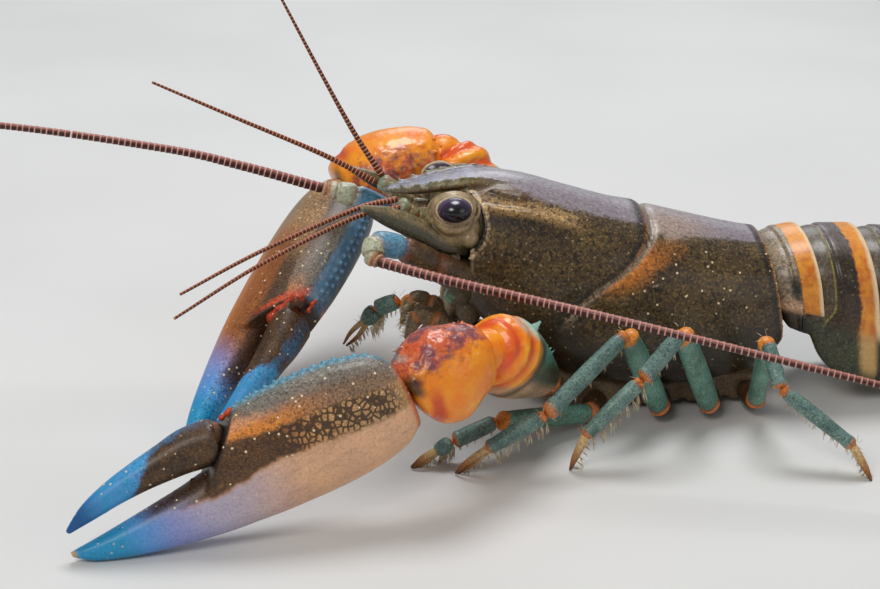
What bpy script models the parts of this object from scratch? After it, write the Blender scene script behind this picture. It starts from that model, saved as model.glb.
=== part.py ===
# Tiger crayfish, a large male, as a life-size still model.
# Lengths are in millimetres, head toward -X, the animal's left side toward -Y.
# The floor is at height 0. An empty sets the model about the middle of its own box.

import math

import bmesh
import bpy
from mathutils import Matrix, Vector

MM = 0.001
GAP = 0.3
HALF_GAP = GAP / 2
MERGE = 0.0003
ORIGIN_SHIFT = (2.74, 6.74, 0.0)

# Carapace: position along the body, half width, height of the back, height of the lower edge.
CARAPACE_STATIONS = (
    (3.0, 8.6, 33.6, 16.4),
    (6.2, 9.5, 34.2, 12.8),
    (11.0, 10.6, 33.7, 8.9),
    (17.0, 11.4, 31.8, 6.0),
    (24.0, 11.8, 29.6, 4.1),
    (31.0, 11.8, 27.8, 3.5),
    (38.0, 11.3, 25.9, 4.2),
    (42.5, 10.4, 24.8, 5.8),
    (45.2, 9.5, 24.3, 8.8),
)
FRONT_X = CARAPACE_STATIONS[0][0]
CARAPACE_RINGS = 19
CARAPACE_SIDES = 28
CARAPACE_POWER_TOP = 2.1
CARAPACE_POWER_LOW = 3.0
CARAPACE_REAR_LEAN = 0.16
UNDERSIDE_RISE = 1.6
UNDERSIDE_SHARE = 0.66
UNDERSIDE_CLEARANCE = 1.0

# The neck groove crosses the back here and sweeps forward down the sides.
GROOVE_X = 27.0
GROOVE_SWEEP = 11.2
GROOVE_FALL = 11.8
GROOVE_POWER = 1.7
GROOVE_DEPTH = 0.55

# Rostrum: position, half width, height of the upper face, thickness.
ROSTRUM_STATIONS = (
    (12.0, 3.2, 32.6, 2.2),
    (5.0, 3.9, 34.5, 2.4),
    (0.0, 3.4, 34.1, 2.0),
    (-4.0, 2.5, 33.4, 1.6),
    (-6.4, 1.3, 32.9, 1.1),
    (-7.8, 0.35, 32.5, 0.6),
)
ROSTRUM_RIM = 0.4
ROSTRUM_TEETH = (-1.6, -3.6, -5.4)
ROSTRUM_TOOTH_LENGTH = 0.7

# Spines of the carapace, as root, tip and root radius: behind the eye, below the orbit, at the groove.
CHEEK_SPINES = (
    ((10.5, 5.6, 31.6), (6.0, 4.9, 33.3), 0.9),
    ((6.0, 8.6, 24.2), (2.0, 8.9, 25.0), 0.9),
    ((29.2, 10.9, 20.0), (27.4, 12.0, 20.6), 0.5),
)

ORBIT_CENTRE = (1.0, 29.2)
ORBIT_RADIUS = 4.1
ORBIT_INNER_Y = 3.3
ORBIT_OVERCUT = 0.5
CORE_FRONT_X = -1.4
CORE_REAR_X = 8.0
CORE_HEIGHTS = (26.2, 32.5)

EYE_CENTRE = (0.9, 9.0, 31.6)
CORNEA_RADII = (2.35, 2.3, 1.75)
CORNEA_PLANE_Y = 7.9
STALK_ROOT_Y = 3.6

STERNUM_HALF_WIDTH = 6.0
STERNUM_FRONT_X = 10.5
STERNUM_REAR_X = 44.6
STERNUM_LEVEL_X = 39.0

# Abdomen segments: front and rear position, half width, back height, lobe bottom, at the middle.
ABDOMEN_STATIONS = (
    (45.8, 8.9, 23.6, 12.6),
    (51.6, 9.2, 24.2, 10.8),
    (59.8, 9.5, 23.9, 6.4),
    (67.4, 9.3, 23.0, 6.6),
    (74.6, 8.8, 21.6, 6.6),
    (81.2, 8.2, 19.6, 6.4),
    (89.4, 6.8, 16.4, 6.6),
)
LOBE_DEPTHS = (0.6, 5.0, 4.4, 4.0, 3.6, 2.2)
LOBE_ROUNDING = 0.7
BELLY_SHARE = 0.32
BELLY_SAG = 0.8
WAIST_SHARE = 0.5
ARCH_SIDES = 11
ABDOMEN_LEAN_LENGTH = 45.0
SEGMENT_HALF_GAP = 0.21

# One segment: share of its length, swell of the ring, share of the lobe, lift of the lobe.
SEGMENT_ROWS = (
    (0.0, -0.75, 0.0, 0.6), (0.1, -0.45, 0.45, 0.0), (0.3, -0.05, 0.85, 0.0), (0.55, 0.0, 1.0, 0.0),
    (0.8, 0.12, 0.8, 0.0), (0.93, 0.15, 0.45, 0.0), (1.0, 0.0, 0.1, 0.6))

# Swimmerets: shift back, drop below the root, half thickness and half breadth.
SWIMMERET_SEGMENTS = (2, 3, 4, 5)
SWIMMERET_ROWS = ((-0.5, -1.2, 0.7, 0.9), (0.0, 2.2, 0.5, 1.5), (1.0, 4.6, 0.4, 1.7), (2.0, 6.6, 0.25, 0.8))
SWIMMERET_SPREAD = 0.5

# Tail fan: root height below the back, then how far out, back and down each blade reaches.
TELSON_ROOT_DROP = 2.0
TELSON_TIP = (12.6, 0.0, 6.2)
TELSON_WIDTHS = (4.6, 5.2, 5.4, 5.3, 4.9, 4.2, 2.6)
TELSON_HALF_THICKNESS = 0.7
INNER_BLADE_ROOT = (3.0, 4.7)
INNER_BLADE_TIP = (12.9, 8.6, 4.2)
INNER_BLADE_WIDTHS = (1.7, 3.6, 4.5, 4.7, 4.5, 3.7, 2.0)
OUTER_BLADE_ROOT = (4.2, 7.4)
OUTER_BLADE_TIP = (10.9, 15.2, 2.2)
OUTER_BLADE_WIDTHS = (1.6, 3.4, 4.6, 5.0, 4.8, 4.0, 2.2)
BLADE_HALF_THICKNESS = 0.55
BLADE_ARCH = 0.9

# Antennal flagella: points along each, from the peduncle to the free end.
LEFT_FLAGELLUM = (
    (-9.9, -14.9, 27.0), (-1.1, -19.0, 25.4), (20.7, -29.0, 22.3),
    (50.5, -40.0, 16.7), (68.0, -44.5, 12.6), (82.0, -47.0, 9.0),
)
RIGHT_FLAGELLUM = (
    (-15.5, 10.0, 29.6), (-26.5, 12.2, 32.6), (-38.0, 14.0, 35.2),
    (-64.0, 18.0, 38.6), (-88.0, 23.0, 38.0), (-108.0, 28.0, 33.0),
)
LEFT_PEDUNCLE = ((FRONT_X, -6.6, 20.9), (-2.2, -9.4, 24.4), (-6.6, -11.6, 27.6), (-9.9, -12.9, 28.7),
                 (-10.7, -14.0, 27.6))
RIGHT_PEDUNCLE = ((FRONT_X, 6.6, 20.9), (-2.0, 8.6, 23.4), (-6.2, 9.5, 25.9), (-10.6, 9.6, 28.2),
                  (-13.4, 9.8, 29.1))
PEDUNCLE_SIZES = ((2.3, 2.2), (2.0, 1.9), (1.7, 1.6), (1.75, 1.65), (1.4, 1.4), (0.95, 0.95))
FLAGELLUM_RADII = (0.78, 0.3)
FLAGELLUM_STEPS = 26

# Antennules: end of the base, then the points of the outer and of the inner flagellum.
LEFT_ANTENNULE = (
    (-6.2, -3.6, 31.3),
    ((-12.6, -5.9, 30.2), (-25.5, -10.8, 25.8), (-37.0, -14.6, 20.2)),
    ((-12.6, -5.3, 31.1), (-25.6, -9.8, 27.2), (-36.1, -13.4, 23.1)),
)
RIGHT_ANTENNULE = (
    (-8.0, 3.6, 32.6),
    ((-15.8, 4.6, 36.2), (-27.0, 5.2, 41.4), (-38.6, 6.0, 46.8)),
    ((-11.2, 5.0, 38.8), (-15.2, 6.2, 46.4), (-20.7, 8.0, 57.4)),
)
ANTENNULE_RADII = (0.48, 0.22)
ANTENNULE_APART = 0.62

# Claw: distance along, lower edge, upper edge, half thickness.
PALM_STATIONS = (
    (0.0, -3.6, 4.4, 3.0),
    (2.2, -5.2, 6.9, 3.9),
    (6.0, -6.2, 8.2, 4.4),
    (11.0, -6.6, 8.8, 4.5),
    (17.0, -6.5, 8.8, 4.4),
    (22.0, -6.2, 8.4, 4.0),
    (27.5, -5.6, 7.8, 3.5),
)
FINGER_STATIONS = (
    (18.0, -6.2, 0.8, 3.6),
    (23.0, -6.05, 2.4, 3.5),
    (26.5, -5.75, 2.5, 3.3),
    (30.0, -5.25, 1.6, 2.9),
    (34.5, -4.4, 0.9, 2.4),
    (39.0, -3.3, 0.4, 1.9),
    (43.0, -1.9, 0.4, 1.2),
    (45.4, -0.3, 0.4, 0.35),
)
HINGE_TOP = (20.9, 8.5)
HINGE_BOTTOM = (26.2, 2.5)
DACTYL_PATH = ((27.4, 5.9), (30.5, 5.75), (34.2, 5.45), (38.0, 4.9), (41.6, 4.0), (44.8, 2.8))
DACTYL_BROAD = (2.6, 2.4, 2.0, 1.65, 1.35, 1.0, 0.3)
DACTYL_THICK = (3.1, 2.6, 2.2, 1.9, 1.5, 1.0, 0.3)
CLAW_TUBERCLES = 15
TUBERCLE_RADIUS = 0.5
TUBERCLE_HEIGHT = 0.75

# Cheliped pieces: share of the length, half thickness, half breadth, bulge to the outer side.
ISCHIUM_ROWS = ((0.0, 1.9, 1.9, 0.0), (0.5, 2.0, 2.0, 0.0), (1.0, 2.3, 2.3, 0.0))
MERUS_ROWS = (
    (0.0, 2.4, 2.5, 0.0), (0.28, 3.3, 3.9, 0.1), (0.6, 4.1, 5.2, 0.4), (0.82, 4.3, 4.9, 1.0),
    (1.0, 3.4, 3.8, 0.0))
MERUS_SPINE_SHARE = 0.72
MERUS_SPINE_ROOT = 4.2
MERUS_SPINE_LENGTH = 3.4
CARPUS_ROWS = (
    (0.0, 3.4, 3.8, 0.0), (0.3, 4.7, 5.2, 0.8), (0.58, 5.2, 6.4, 0.9), (0.84, 4.8, 5.4, 0.6),
    (1.0, 3.2, 4.0, 0.0))

# Limb joints, from the body outward.
LEFT_ARM = ((14.6, -6.0, 4.3), (12.6, -13.2, 8.6), (1.8, -29.6, 19.4), (-8.4, -35.0, 16.1))
LEFT_CLAW_TIP = (-49.7, -42.9, 1.3)
LEFT_CLAW_UP = (0.0, 0.15, 1.0)
RIGHT_ARM = ((14.6, 6.0, 4.3), (12.4, 13.4, 10.4), (3.4, 23.6, 29.6), (-11.6, 21.8, 24.8))
RIGHT_CLAW_TIP = (-36.0, -14.0, 1.0)
RIGHT_CLAW_UP = (0.695, -0.688, 0.213)
RIGHT_CLAW_SCALE = 1.09
RIGHT_CLAW_SLIM = 0.84

# Walking legs: body joint, hip bend, knee, wrist, hand end, tip.
LEFT_LEGS = (
    ((21.5, -6.0, 2.1), (19.4, -11.0, 2.1), (5.1, -20.0, 5.6), (-1.0, -21.2, 3.5), (-3.4, -21.4, 2.2),
     (-6.6, -21.6, 0.1)),
    ((30.4, -6.0, 2.1), (29.5, -10.8, 2.3), (22.4, -20.0, 17.3), (10.6, -26.0, 8.8), (2.8, -25.6, 4.1),
     (-0.9, -24.0, 0.1)),
    ((37.4, -6.0, 2.1), (36.6, -10.8, 2.3), (29.7, -21.0, 17.5), (23.7, -24.2, 12.3), (15.9, -25.2, 5.0),
     (14.2, -24.7, 0.0)),
    ((43.0, -6.0, 2.4), (43.2, -10.8, 2.6), (41.0, -22.0, 16.1), (42.0, -26.0, 10.8), (51.0, -31.0, 4.1),
     (52.9, -33.0, 0.0)),
)
RIGHT_LEGS = (
    ((21.5, 6.0, 2.1), (18.0, 11.5, 1.9), (-4.1, 15.6, 10.1), (-7.2, 17.6, 8.2), (-9.0, 18.6, 5.6),
     (-11.9, 20.0, 1.6)),
    ((30.4, 6.0, 2.1), (29.5, 10.8, 2.3), (20.0, 20.5, 17.0), (9.6, 25.0, 10.0), (3.0, 26.6, 4.8),
     (-0.6, 27.4, 0.1)),
    ((37.4, 6.0, 2.1), (37.0, 10.8, 2.3), (31.0, 21.0, 17.2), (26.4, 26.0, 12.0), (19.8, 29.4, 4.8),
     (18.2, 30.4, 0.0)),
    ((43.0, 6.0, 2.4), (43.6, 10.8, 2.6), (43.6, 22.0, 16.0), (45.6, 26.6, 10.8), (53.6, 31.6, 4.1),
     (55.4, 33.6, 0.0)),
)
PINCER_LEGS = 2
LAST_LEG = 5
LAST_LEG_SLIM = 0.82
LEG_UPPER_SIZES = ((1.3, 1.3), (1.35, 1.4), (1.1, 1.75), (1.05, 1.65), (0.95, 1.1))
LEG_LOWER_SIZES = ((0.95, 1.1), (1.05, 1.35), (0.95, 1.2), (1.0, 1.35), (0.8, 0.85))
LEG_TIP_SIZES = [(0.5, 0.55), (0.28, 0.3)]
PINCER_SIZES = ((0.5, 0.45), (0.42, 0.34), (0.22, 0.2))

COLOURS = {
    "shell": (0.16, 0.12, 0.07),
    "belly": (0.35, 0.27, 0.2),
    "cornea": (0.03, 0.015, 0.04),
    "stalk": (0.5, 0.4, 0.28),
    "band": (0.3, 0.17, 0.05),
    "feeler": (0.27, 0.08, 0.05),
    "peduncle": (0.4, 0.42, 0.3),
    "orange": (0.75, 0.2, 0.03),
    "claw": (0.32, 0.26, 0.22),
    "leg": (0.16, 0.27, 0.24),
}


def clear_scene():
    """Start from an empty scene."""
    for item in list(bpy.data.objects):
        bpy.data.objects.remove(item, do_unlink=True)


def make_material(name, colour):
    """One shell material with its own colour."""
    material = bpy.data.materials.new(name)
    material.use_nodes = True
    shader = material.node_tree.nodes["Principled BSDF"]
    shader.inputs["Base Color"].default_value = (*colour, 1.0)
    shader.inputs["Roughness"].default_value = 0.4
    shader.inputs["Metallic"].default_value = 0.0
    return material


def curve_at(stations, position):
    """Columns of a station table at a position, by a smooth curve through its rows."""
    rows = sorted(stations)
    if position <= rows[0][0]:
        return rows[0][1:]
    if position >= rows[-1][0]:
        return rows[-1][1:]
    index = max(k for k in range(len(rows) - 1) if rows[k][0] <= position)
    low, high = rows[index], rows[index + 1]
    before = rows[max(index - 1, 0)]
    after = rows[min(index + 2, len(rows) - 1)]
    span = high[0] - low[0]
    t = (position - low[0]) / span
    values = []
    for column in range(1, len(low)):
        slope_low = (high[column] - before[column]) / (high[0] - before[0]) * span
        slope_high = (after[column] - low[column]) / (after[0] - low[0]) * span
        values.append(
            (2 * t**3 - 3 * t**2 + 1) * low[column] + (t**3 - 2 * t**2 + t) * slope_low
            + (3 * t**2 - 2 * t**3) * high[column] + (t**3 - t**2) * slope_high)
    return tuple(values)


def path_at(points, share):
    """Point a share of the way along a smooth curve through evenly weighted points."""
    rows = [(index / (len(points) - 1), *point) for index, point in enumerate(points)]
    return Vector(curve_at(rows, share))


def power_of(value, exponent):
    """A power that keeps the sign."""
    return math.copysign(abs(value) ** exponent, value)


def outline(sides, across, rise, drop, power):
    """Rounded outline as pairs of sideways and upward distances."""
    pairs = []
    for index in range(sides):
        angle = 2 * math.pi * index / sides
        side = across * power_of(math.cos(angle), 2 / power)
        height = rise if math.sin(angle) > 0 else drop
        pairs.append((side, height * power_of(math.sin(angle), 2 / power)))
    return pairs


def loft(rings):
    """Closed body through rings of points, by extruding its end face from ring to ring."""
    shape = bmesh.new()
    bmesh.ops.create_circle(shape, cap_ends=True, segments=len(rings[0]), radius=1.0)
    shape.faces.ensure_lookup_table()
    face = shape.faces[0]
    place_face(face, rings[0])
    for ring in rings[1:]:
        face = bmesh.ops.extrude_discrete_faces(shape, faces=[face])["faces"][0]
        place_face(face, ring)
    rim = [edge for edge in shape.edges if edge.is_boundary]
    bmesh.ops.holes_fill(shape, edges=rim, sides=0)
    bmesh.ops.recalc_face_normals(shape, faces=shape.faces)
    return shape


def place_face(face, ring):
    """Put a face's corners on a ring of points."""
    for vert, point in zip(face.verts, ring):
        vert.co = point


def tube(path, sizes, side, sides=8, start_normal=None, end_normal=None, power=2.2, pull=(0.0, 0.0)):
    """Closed tube along a path. sizes holds half thickness along side and half breadth at each point."""
    points = [Vector(point) for point in path]
    last = len(points) - 1
    rings = []
    for index, centre in enumerate(points):
        ahead = (points[min(index + 1, last)] - points[max(index, 1) - 1 if index == last else index])
        behind = (points[index] - points[index - 1]) if index else ahead
        along = (ahead.normalized() + behind.normalized()).normalized()
        normal = along
        if index == 0 and start_normal is not None:
            normal = Vector(start_normal).normalized()
        if index == last and end_normal is not None:
            normal = Vector(end_normal).normalized()
        if normal.dot(along) < 0:
            normal = -normal
        if index == 0:
            centre = centre + along * pull[0] / normal.dot(along)
        if index == last:
            centre = centre - along * pull[1] / normal.dot(along)
        across = (Vector(side) - Vector(side).dot(along) * along).normalized()
        deep = along.cross(across)
        ring = []
        half_across, half_deep = sizes[index]
        for shift_across, shift_deep in outline(sides, half_across, half_deep, half_deep, power):
            offset = across * shift_across + deep * shift_deep
            offset -= along * (offset.dot(normal) / along.dot(normal))
            ring.append(centre + offset)
        rings.append(ring)
    return loft(rings)


def cone(root, tip, radius, sides=6, tip_radius=0.06):
    """Closed tapered spine from its root to its tip."""
    root, tip = Vector(root), Vector(tip)
    shape = bmesh.new()
    along = tip - root
    bmesh.ops.create_cone(
        shape, cap_ends=True, segments=sides, radius1=radius, radius2=tip_radius, depth=along.length)
    turn = along.to_track_quat("Z", "Y").to_matrix().to_4x4()
    bmesh.ops.transform(
        shape, matrix=Matrix.Translation((root + tip) / 2) @ turn, verts=shape.verts)
    return shape


def ellipsoid(centre, radii, rings=8, sides=14):
    """Closed ball with three radii."""
    shape = bmesh.new()
    bmesh.ops.create_uvsphere(shape, u_segments=sides, v_segments=rings, radius=1.0)
    bmesh.ops.scale(shape, vec=radii, verts=shape.verts)
    bmesh.ops.translate(shape, vec=centre, verts=shape.verts)
    return shape


def cut_flat(shape, point, normal):
    """Remove what lies beyond a plane, on the side its normal points to, and close the cut."""
    geometry = shape.verts[:] + shape.edges[:] + shape.faces[:]
    bmesh.ops.bisect_plane(
        shape, geom=geometry, plane_co=point, plane_no=normal, clear_outer=True, dist=MERGE)
    rim = [edge for edge in shape.edges if edge.is_boundary]
    bmesh.ops.holes_fill(shape, edges=rim, sides=0)
    bmesh.ops.recalc_face_normals(shape, faces=shape.faces)
    return shape


def mesh_object(name, shape):
    """Object that holds a bmesh."""
    mesh = bpy.data.meshes.new(name)
    shape.to_mesh(mesh)
    shape.free()
    item = bpy.data.objects.new(name, mesh)
    bpy.context.collection.objects.link(item)
    return item


def apply_boolean(item, others, operation):
    """Apply one Boolean of a collection of closed shapes to an object, and remove the shapes."""
    group = bpy.data.collections.new("pieces")
    bpy.context.scene.collection.children.link(group)
    for index, shape in enumerate(others):
        piece = mesh_object(f"piece_{index}", shape)
        bpy.context.collection.objects.unlink(piece)
        group.objects.link(piece)
    modifier = item.modifiers.new("join", "BOOLEAN")
    modifier.operation = operation
    modifier.operand_type = "COLLECTION"
    modifier.collection = group
    modifier.solver = "EXACT"
    graph = bpy.context.evaluated_depsgraph_get()
    mesh = bpy.data.meshes.new_from_object(item.evaluated_get(graph))
    item.modifiers.clear()
    item.data = mesh
    for piece in list(group.objects):
        bpy.data.objects.remove(piece, do_unlink=True)
    bpy.data.collections.remove(group)


def keep_largest(shape):
    """Keep only the closed surface with the largest volume."""
    remaining = set(shape.faces)
    islands = []
    while remaining:
        stack = [remaining.pop()]
        island = []
        while stack:
            face = stack.pop()
            island.append(face)
            for edge in face.edges:
                for neighbour in edge.link_faces:
                    if neighbour in remaining:
                        remaining.remove(neighbour)
                        stack.append(neighbour)
        islands.append(island)
    islands.sort(key=island_volume, reverse=True)
    scraps = [face for island in islands[1:] for face in island]
    bmesh.ops.delete(shape, geom=scraps, context="FACES")


def island_volume(faces):
    """Volume inside a closed set of faces."""
    total = 0.0
    for face in faces:
        corners = [vert.co for vert in face.verts]
        for index in range(1, len(corners) - 1):
            total += corners[0].dot(corners[index].cross(corners[index + 1])) / 6
    return abs(total)


def add_node(name, colour, shape, joined=(), cut=(), on_floor=False):
    """Named part of the model: a shape, less some cutters, fused with some smaller forms.

    A part on the floor is cut off flat where it meets the floor.
    """
    bmesh.ops.triangulate(shape, faces=shape.faces)
    item = mesh_object(name, shape)
    if cut:
        apply_boolean(item, cut, "DIFFERENCE")
    if joined:
        apply_boolean(item, joined, "UNION")
    finished = bmesh.new()
    finished.from_mesh(item.data)
    bmesh.ops.remove_doubles(finished, verts=finished.verts, dist=MERGE)
    if on_floor and min(vert.co.z for vert in finished.verts) < 0.0:
        cut_flat(finished, (0, 0, 0), (0, 0, -1))
    bmesh.ops.triangulate(finished, faces=finished.faces)
    keep_largest(finished)
    bmesh.ops.recalc_face_normals(finished, faces=finished.faces)
    bmesh.ops.scale(finished, vec=(MM, MM, MM), verts=finished.verts)
    finished.to_mesh(item.data)
    finished.free()
    item.data.materials.clear()
    item.data.materials.append(make_material(name, COLOURS[colour]))
    item.parent = bpy.data.objects["middle"]


def carapace_point(station, angle, inset):
    """Point of the carapace surface. Rings lean forward down the sides, most at the neck groove."""
    weight = groove_weight(station)
    half, top, low = curve_at(CARAPACE_STATIONS, station)
    x, y, z = station, 0.0, top
    for _ in range(3):
        half, top, low = curve_at(CARAPACE_STATIONS, x)
        middle = low + 0.46 * (top - low)
        across, up = math.cos(angle), math.sin(angle)
        power = CARAPACE_POWER_TOP if up > 0 else CARAPACE_POWER_LOW
        height = (top - middle) if up > 0 else (middle - low)
        y = (half - inset) * power_of(across, 2 / power)
        z = middle + (height - inset) * power_of(up, 2 / power)
        fall = min(max(top - z, 0.0) / GROOVE_FALL, 1.12)
        x = station - weight * GROOVE_SWEEP * fall**GROOVE_POWER
    x += rear_lean(station) * (top - z)
    if z < middle and abs(y) < UNDERSIDE_SHARE * half and math.sin(angle) < -0.5:
        z += UNDERSIDE_RISE
    return Vector((x, y, z))


def groove_weight(station):
    """How far a ring follows the neck groove: fully at the groove, not at either end."""
    first, last = CARAPACE_STATIONS[0][0], CARAPACE_STATIONS[-1][0]
    if station < GROOVE_X:
        return (station - first) / (GROOVE_X - first)
    return 1 - (station - GROOVE_X) / (last - GROOVE_X)


def rear_lean(station):
    """How far the rings near the rear edge lean back toward their lower side."""
    share = max(0.0, (station - GROOVE_X) / (CARAPACE_STATIONS[-1][0] - GROOVE_X))
    return CARAPACE_REAR_LEAN * share**2


def carapace_shell():
    """The carapace without its rostrum, with the neck groove as a narrower ring."""
    first, last = CARAPACE_STATIONS[0][0], CARAPACE_STATIONS[-1][0]
    rows = [(first + (last - first) * index / (CARAPACE_RINGS - 1), 0.0) for index in range(CARAPACE_RINGS)]
    rows = [row for row in rows if abs(row[0] - GROOVE_X) > 1.2]
    rows += [(GROOVE_X - 0.7, 0.0), (GROOVE_X, GROOVE_DEPTH), (GROOVE_X + 0.7, 0.0)]
    rings = []
    for station, inset in sorted(rows):
        angles = [2 * math.pi * index / CARAPACE_SIDES for index in range(CARAPACE_SIDES)]
        rings.append([carapace_point(station, angle, inset) for angle in angles])
    return loft(rings)


def rostrum_shape():
    """The rostrum, hollowed along the middle between two raised rims, rooted in the carapace."""
    rings = []
    for x, half, top, thick in ROSTRUM_STATIONS:
        rim = min(ROSTRUM_RIM, thick / 3)
        rows = (
            (half, top - thick * 0.4), (half * 0.92, top), (half * 0.66, top - rim), (0.0, top - rim),
            (-half * 0.66, top - rim), (-half * 0.92, top), (-half, top - thick * 0.4),
            (-half * 0.6, top - thick), (0.0, top - thick * 1.1), (half * 0.6, top - thick))
        rings.append([Vector((x, y, z)) for y, z in rows])
    return loft(rings)


def rostrum_teeth():
    """Small teeth on both rims of the rostrum, pointing forward and up."""
    teeth = []
    for x in ROSTRUM_TEETH:
        half, top, _ = curve_at(ROSTRUM_STATIONS, x)
        for side in (-1, 1):
            root = (x + 0.5, side * half * 0.86, top - 0.3)
            tip = (x - ROSTRUM_TOOTH_LENGTH, side * half * 0.95, top + 0.35)
            teeth.append(cone(root, tip, 0.32, 5))
    return teeth


def cheek_spines():
    """Spine behind each eye, tooth below each orbit and small spine at the neck groove."""
    spines = []
    for side in (-1, 1):
        for root, tip, radius in CHEEK_SPINES:
            root = (root[0], side * root[1], root[2])
            tip = (tip[0], side * tip[1], tip[2])
            spines.append(cone(root, tip, radius, 6))
    return spines


def build_carapace():
    """Carapace with rostrum, orbits and the narrow front of the head between the eyes."""
    orbits = []
    for side in (-1, 1):
        path = ((ORBIT_CENTRE[0], side * (ORBIT_INNER_Y - ORBIT_OVERCUT), ORBIT_CENTRE[1]),
                (ORBIT_CENTRE[0], side * 14.0, ORBIT_CENTRE[1]))
        size = (ORBIT_RADIUS, ORBIT_RADIUS)
        orbits.append(tube(path, (size, size), (1, 0, 0), sides=20, power=2.0))
    middle = sum(CORE_HEIGHTS) / 2
    half_height = (CORE_HEIGHTS[1] - CORE_HEIGHTS[0]) / 2
    core = tube(((CORE_REAR_X, 0, middle - 0.6), (CORE_FRONT_X, 0, middle)),
                ((ORBIT_INNER_Y - 0.1, half_height), (ORBIT_INNER_Y, half_height)),
                (0, 1, 0), sides=16, power=5.0)
    joined = [rostrum_shape(), core] + rostrum_teeth() + cheek_spines()
    add_node("carapace", "shell", carapace_shell(), joined=joined, cut=orbits)


def build_underside():
    """Breast plate between the legs, narrower than the carapace and just below its hollow."""
    rings = []
    for x in (STERNUM_FRONT_X, 14.0, 18.0, 24.0, 31.0, 38.0, STERNUM_REAR_X):
        low_edge = curve_at(CARAPACE_STATIONS, min(x, STERNUM_LEVEL_X))[2]
        top = low_edge + UNDERSIDE_RISE - UNDERSIDE_CLEARANCE
        bottom = max(0.5, low_edge - 4.6)
        middle = (top + bottom) / 2
        pairs = outline(14, STERNUM_HALF_WIDTH - HALF_GAP, top - middle, middle - bottom, 7.0)
        rings.append([Vector((x, side, middle + up)) for side, up in pairs])
    add_node("thorax_underside", "belly", loft(rings))


def build_eye(name, side):
    """Cornea and eyestalk. The stalk widens outward and carries the cornea high on its end."""
    x, y, z = EYE_CENTRE
    cornea = ellipsoid((x, side * (y - 0.6), z), CORNEA_RADII, 9, 16)
    cut_flat(cornea, (x, side * CORNEA_PLANE_Y, z), (0, -side, 0))
    add_node(f"eye_{name}", "cornea", cornea)
    rows = ((STALK_ROOT_Y, 29.3, 2.0, 2.0), (5.4, 29.6, 2.4, 2.3), (6.8, 30.3, 2.8, 2.75),
            (CORNEA_PLANE_Y - GAP, 30.7, 2.7, 2.7))
    path = [(x, side * reach, height) for reach, height, _, _ in rows]
    sizes = [(wide, tall) for _, _, wide, tall in rows]
    add_node(f"eyestalk_{name}", "stalk", tube(
        path, sizes, (1, 0, 0), sides=14, start_normal=(0, 1, 0), end_normal=(0, 1, 0), power=2.1))


def arch(x, lean, half, top, low, lobe):
    """Outline of one abdomen ring: a round back, side lobes that hang down, and a raised belly."""
    belly = low + BELLY_SHARE * (top - low)
    waist = low + WAIST_SHARE * (top - low)
    tip = low - lobe
    pairs = []
    for index in range(ARCH_SIDES):
        angle = math.pi * index / (ARCH_SIDES - 1)
        pairs.append((half * power_of(math.cos(angle), 0.95), waist + (top - waist) * math.sin(angle)))
    lower = (
        (1.0, (waist + tip) / 2), (0.93, tip + LOBE_ROUNDING), (0.86, tip), (0.8, tip + LOBE_ROUNDING),
        (0.72, belly))
    pairs += [(-half * share, z) for share, z in lower]
    pairs.append((0.0, belly - BELLY_SAG))
    pairs += [(half * share, z) for share, z in reversed(lower)]
    return [Vector((x + lean * (top - z), y, z)) for y, z in pairs]


def build_abdomen():
    """Six tail segments, each with a raised rear edge, rounded side lobes and swimmerets below."""
    for number in range(1, 7):
        front = ABDOMEN_STATIONS[number - 1][0] + SEGMENT_HALF_GAP
        rear = ABDOMEN_STATIONS[number][0] - SEGMENT_HALF_GAP
        depth = LOBE_DEPTHS[number - 1]
        rings = []
        for share, swell, lobe, lift in SEGMENT_ROWS:
            x = front + (rear - front) * share
            lean = CARAPACE_REAR_LEAN * (1 - (x - ABDOMEN_STATIONS[0][0]) / ABDOMEN_LEAN_LENGTH)
            half, top, low = curve_at(ABDOMEN_STATIONS, x)
            rings.append(arch(x, lean, half + swell, top + swell, low, depth * lobe - lift))
        joined = []
        if number in SWIMMERET_SEGMENTS:
            joined = swimmerets((front + rear) / 2)
        add_node(f"abdomen_{number}", "band", loft(rings), joined=joined)


def swimmerets(x):
    """A pair of small leaf-like limbs below one tail segment."""
    half, top, low = curve_at(ABDOMEN_STATIONS, x)
    root = low + (BELLY_SHARE + 0.02) * (top - low)
    leaves = []
    for side in (-1, 1):
        out = side * half * SWIMMERET_SPREAD
        path = [(x + back, out, root - drop) for back, drop, _, _ in SWIMMERET_ROWS]
        sizes = [(thick, broad) for _, _, thick, broad in SWIMMERET_ROWS]
        leaves.append(tube(path, sizes, (0, 1, 0), sides=6))
    return leaves


def blade(root, tip, widths, thick, flat):
    """Thin rounded blade of the tail fan, broad along flat and arched along its length."""
    root, tip = Vector(root), Vector(tip)
    last = len(widths) - 1
    path = []
    sizes = []
    for index, width in enumerate(widths):
        share = index / last
        lift = Vector((0, 0, BLADE_ARCH * math.sin(math.pi * share)))
        path.append(root.lerp(tip, share) + lift)
        sizes.append((width, thick * (1 - 0.45 * share)))
    return tube(path, sizes, flat, sides=10, start_normal=(1, 0, 0), power=2.4, pull=(HALF_GAP, 0.0))


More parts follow.
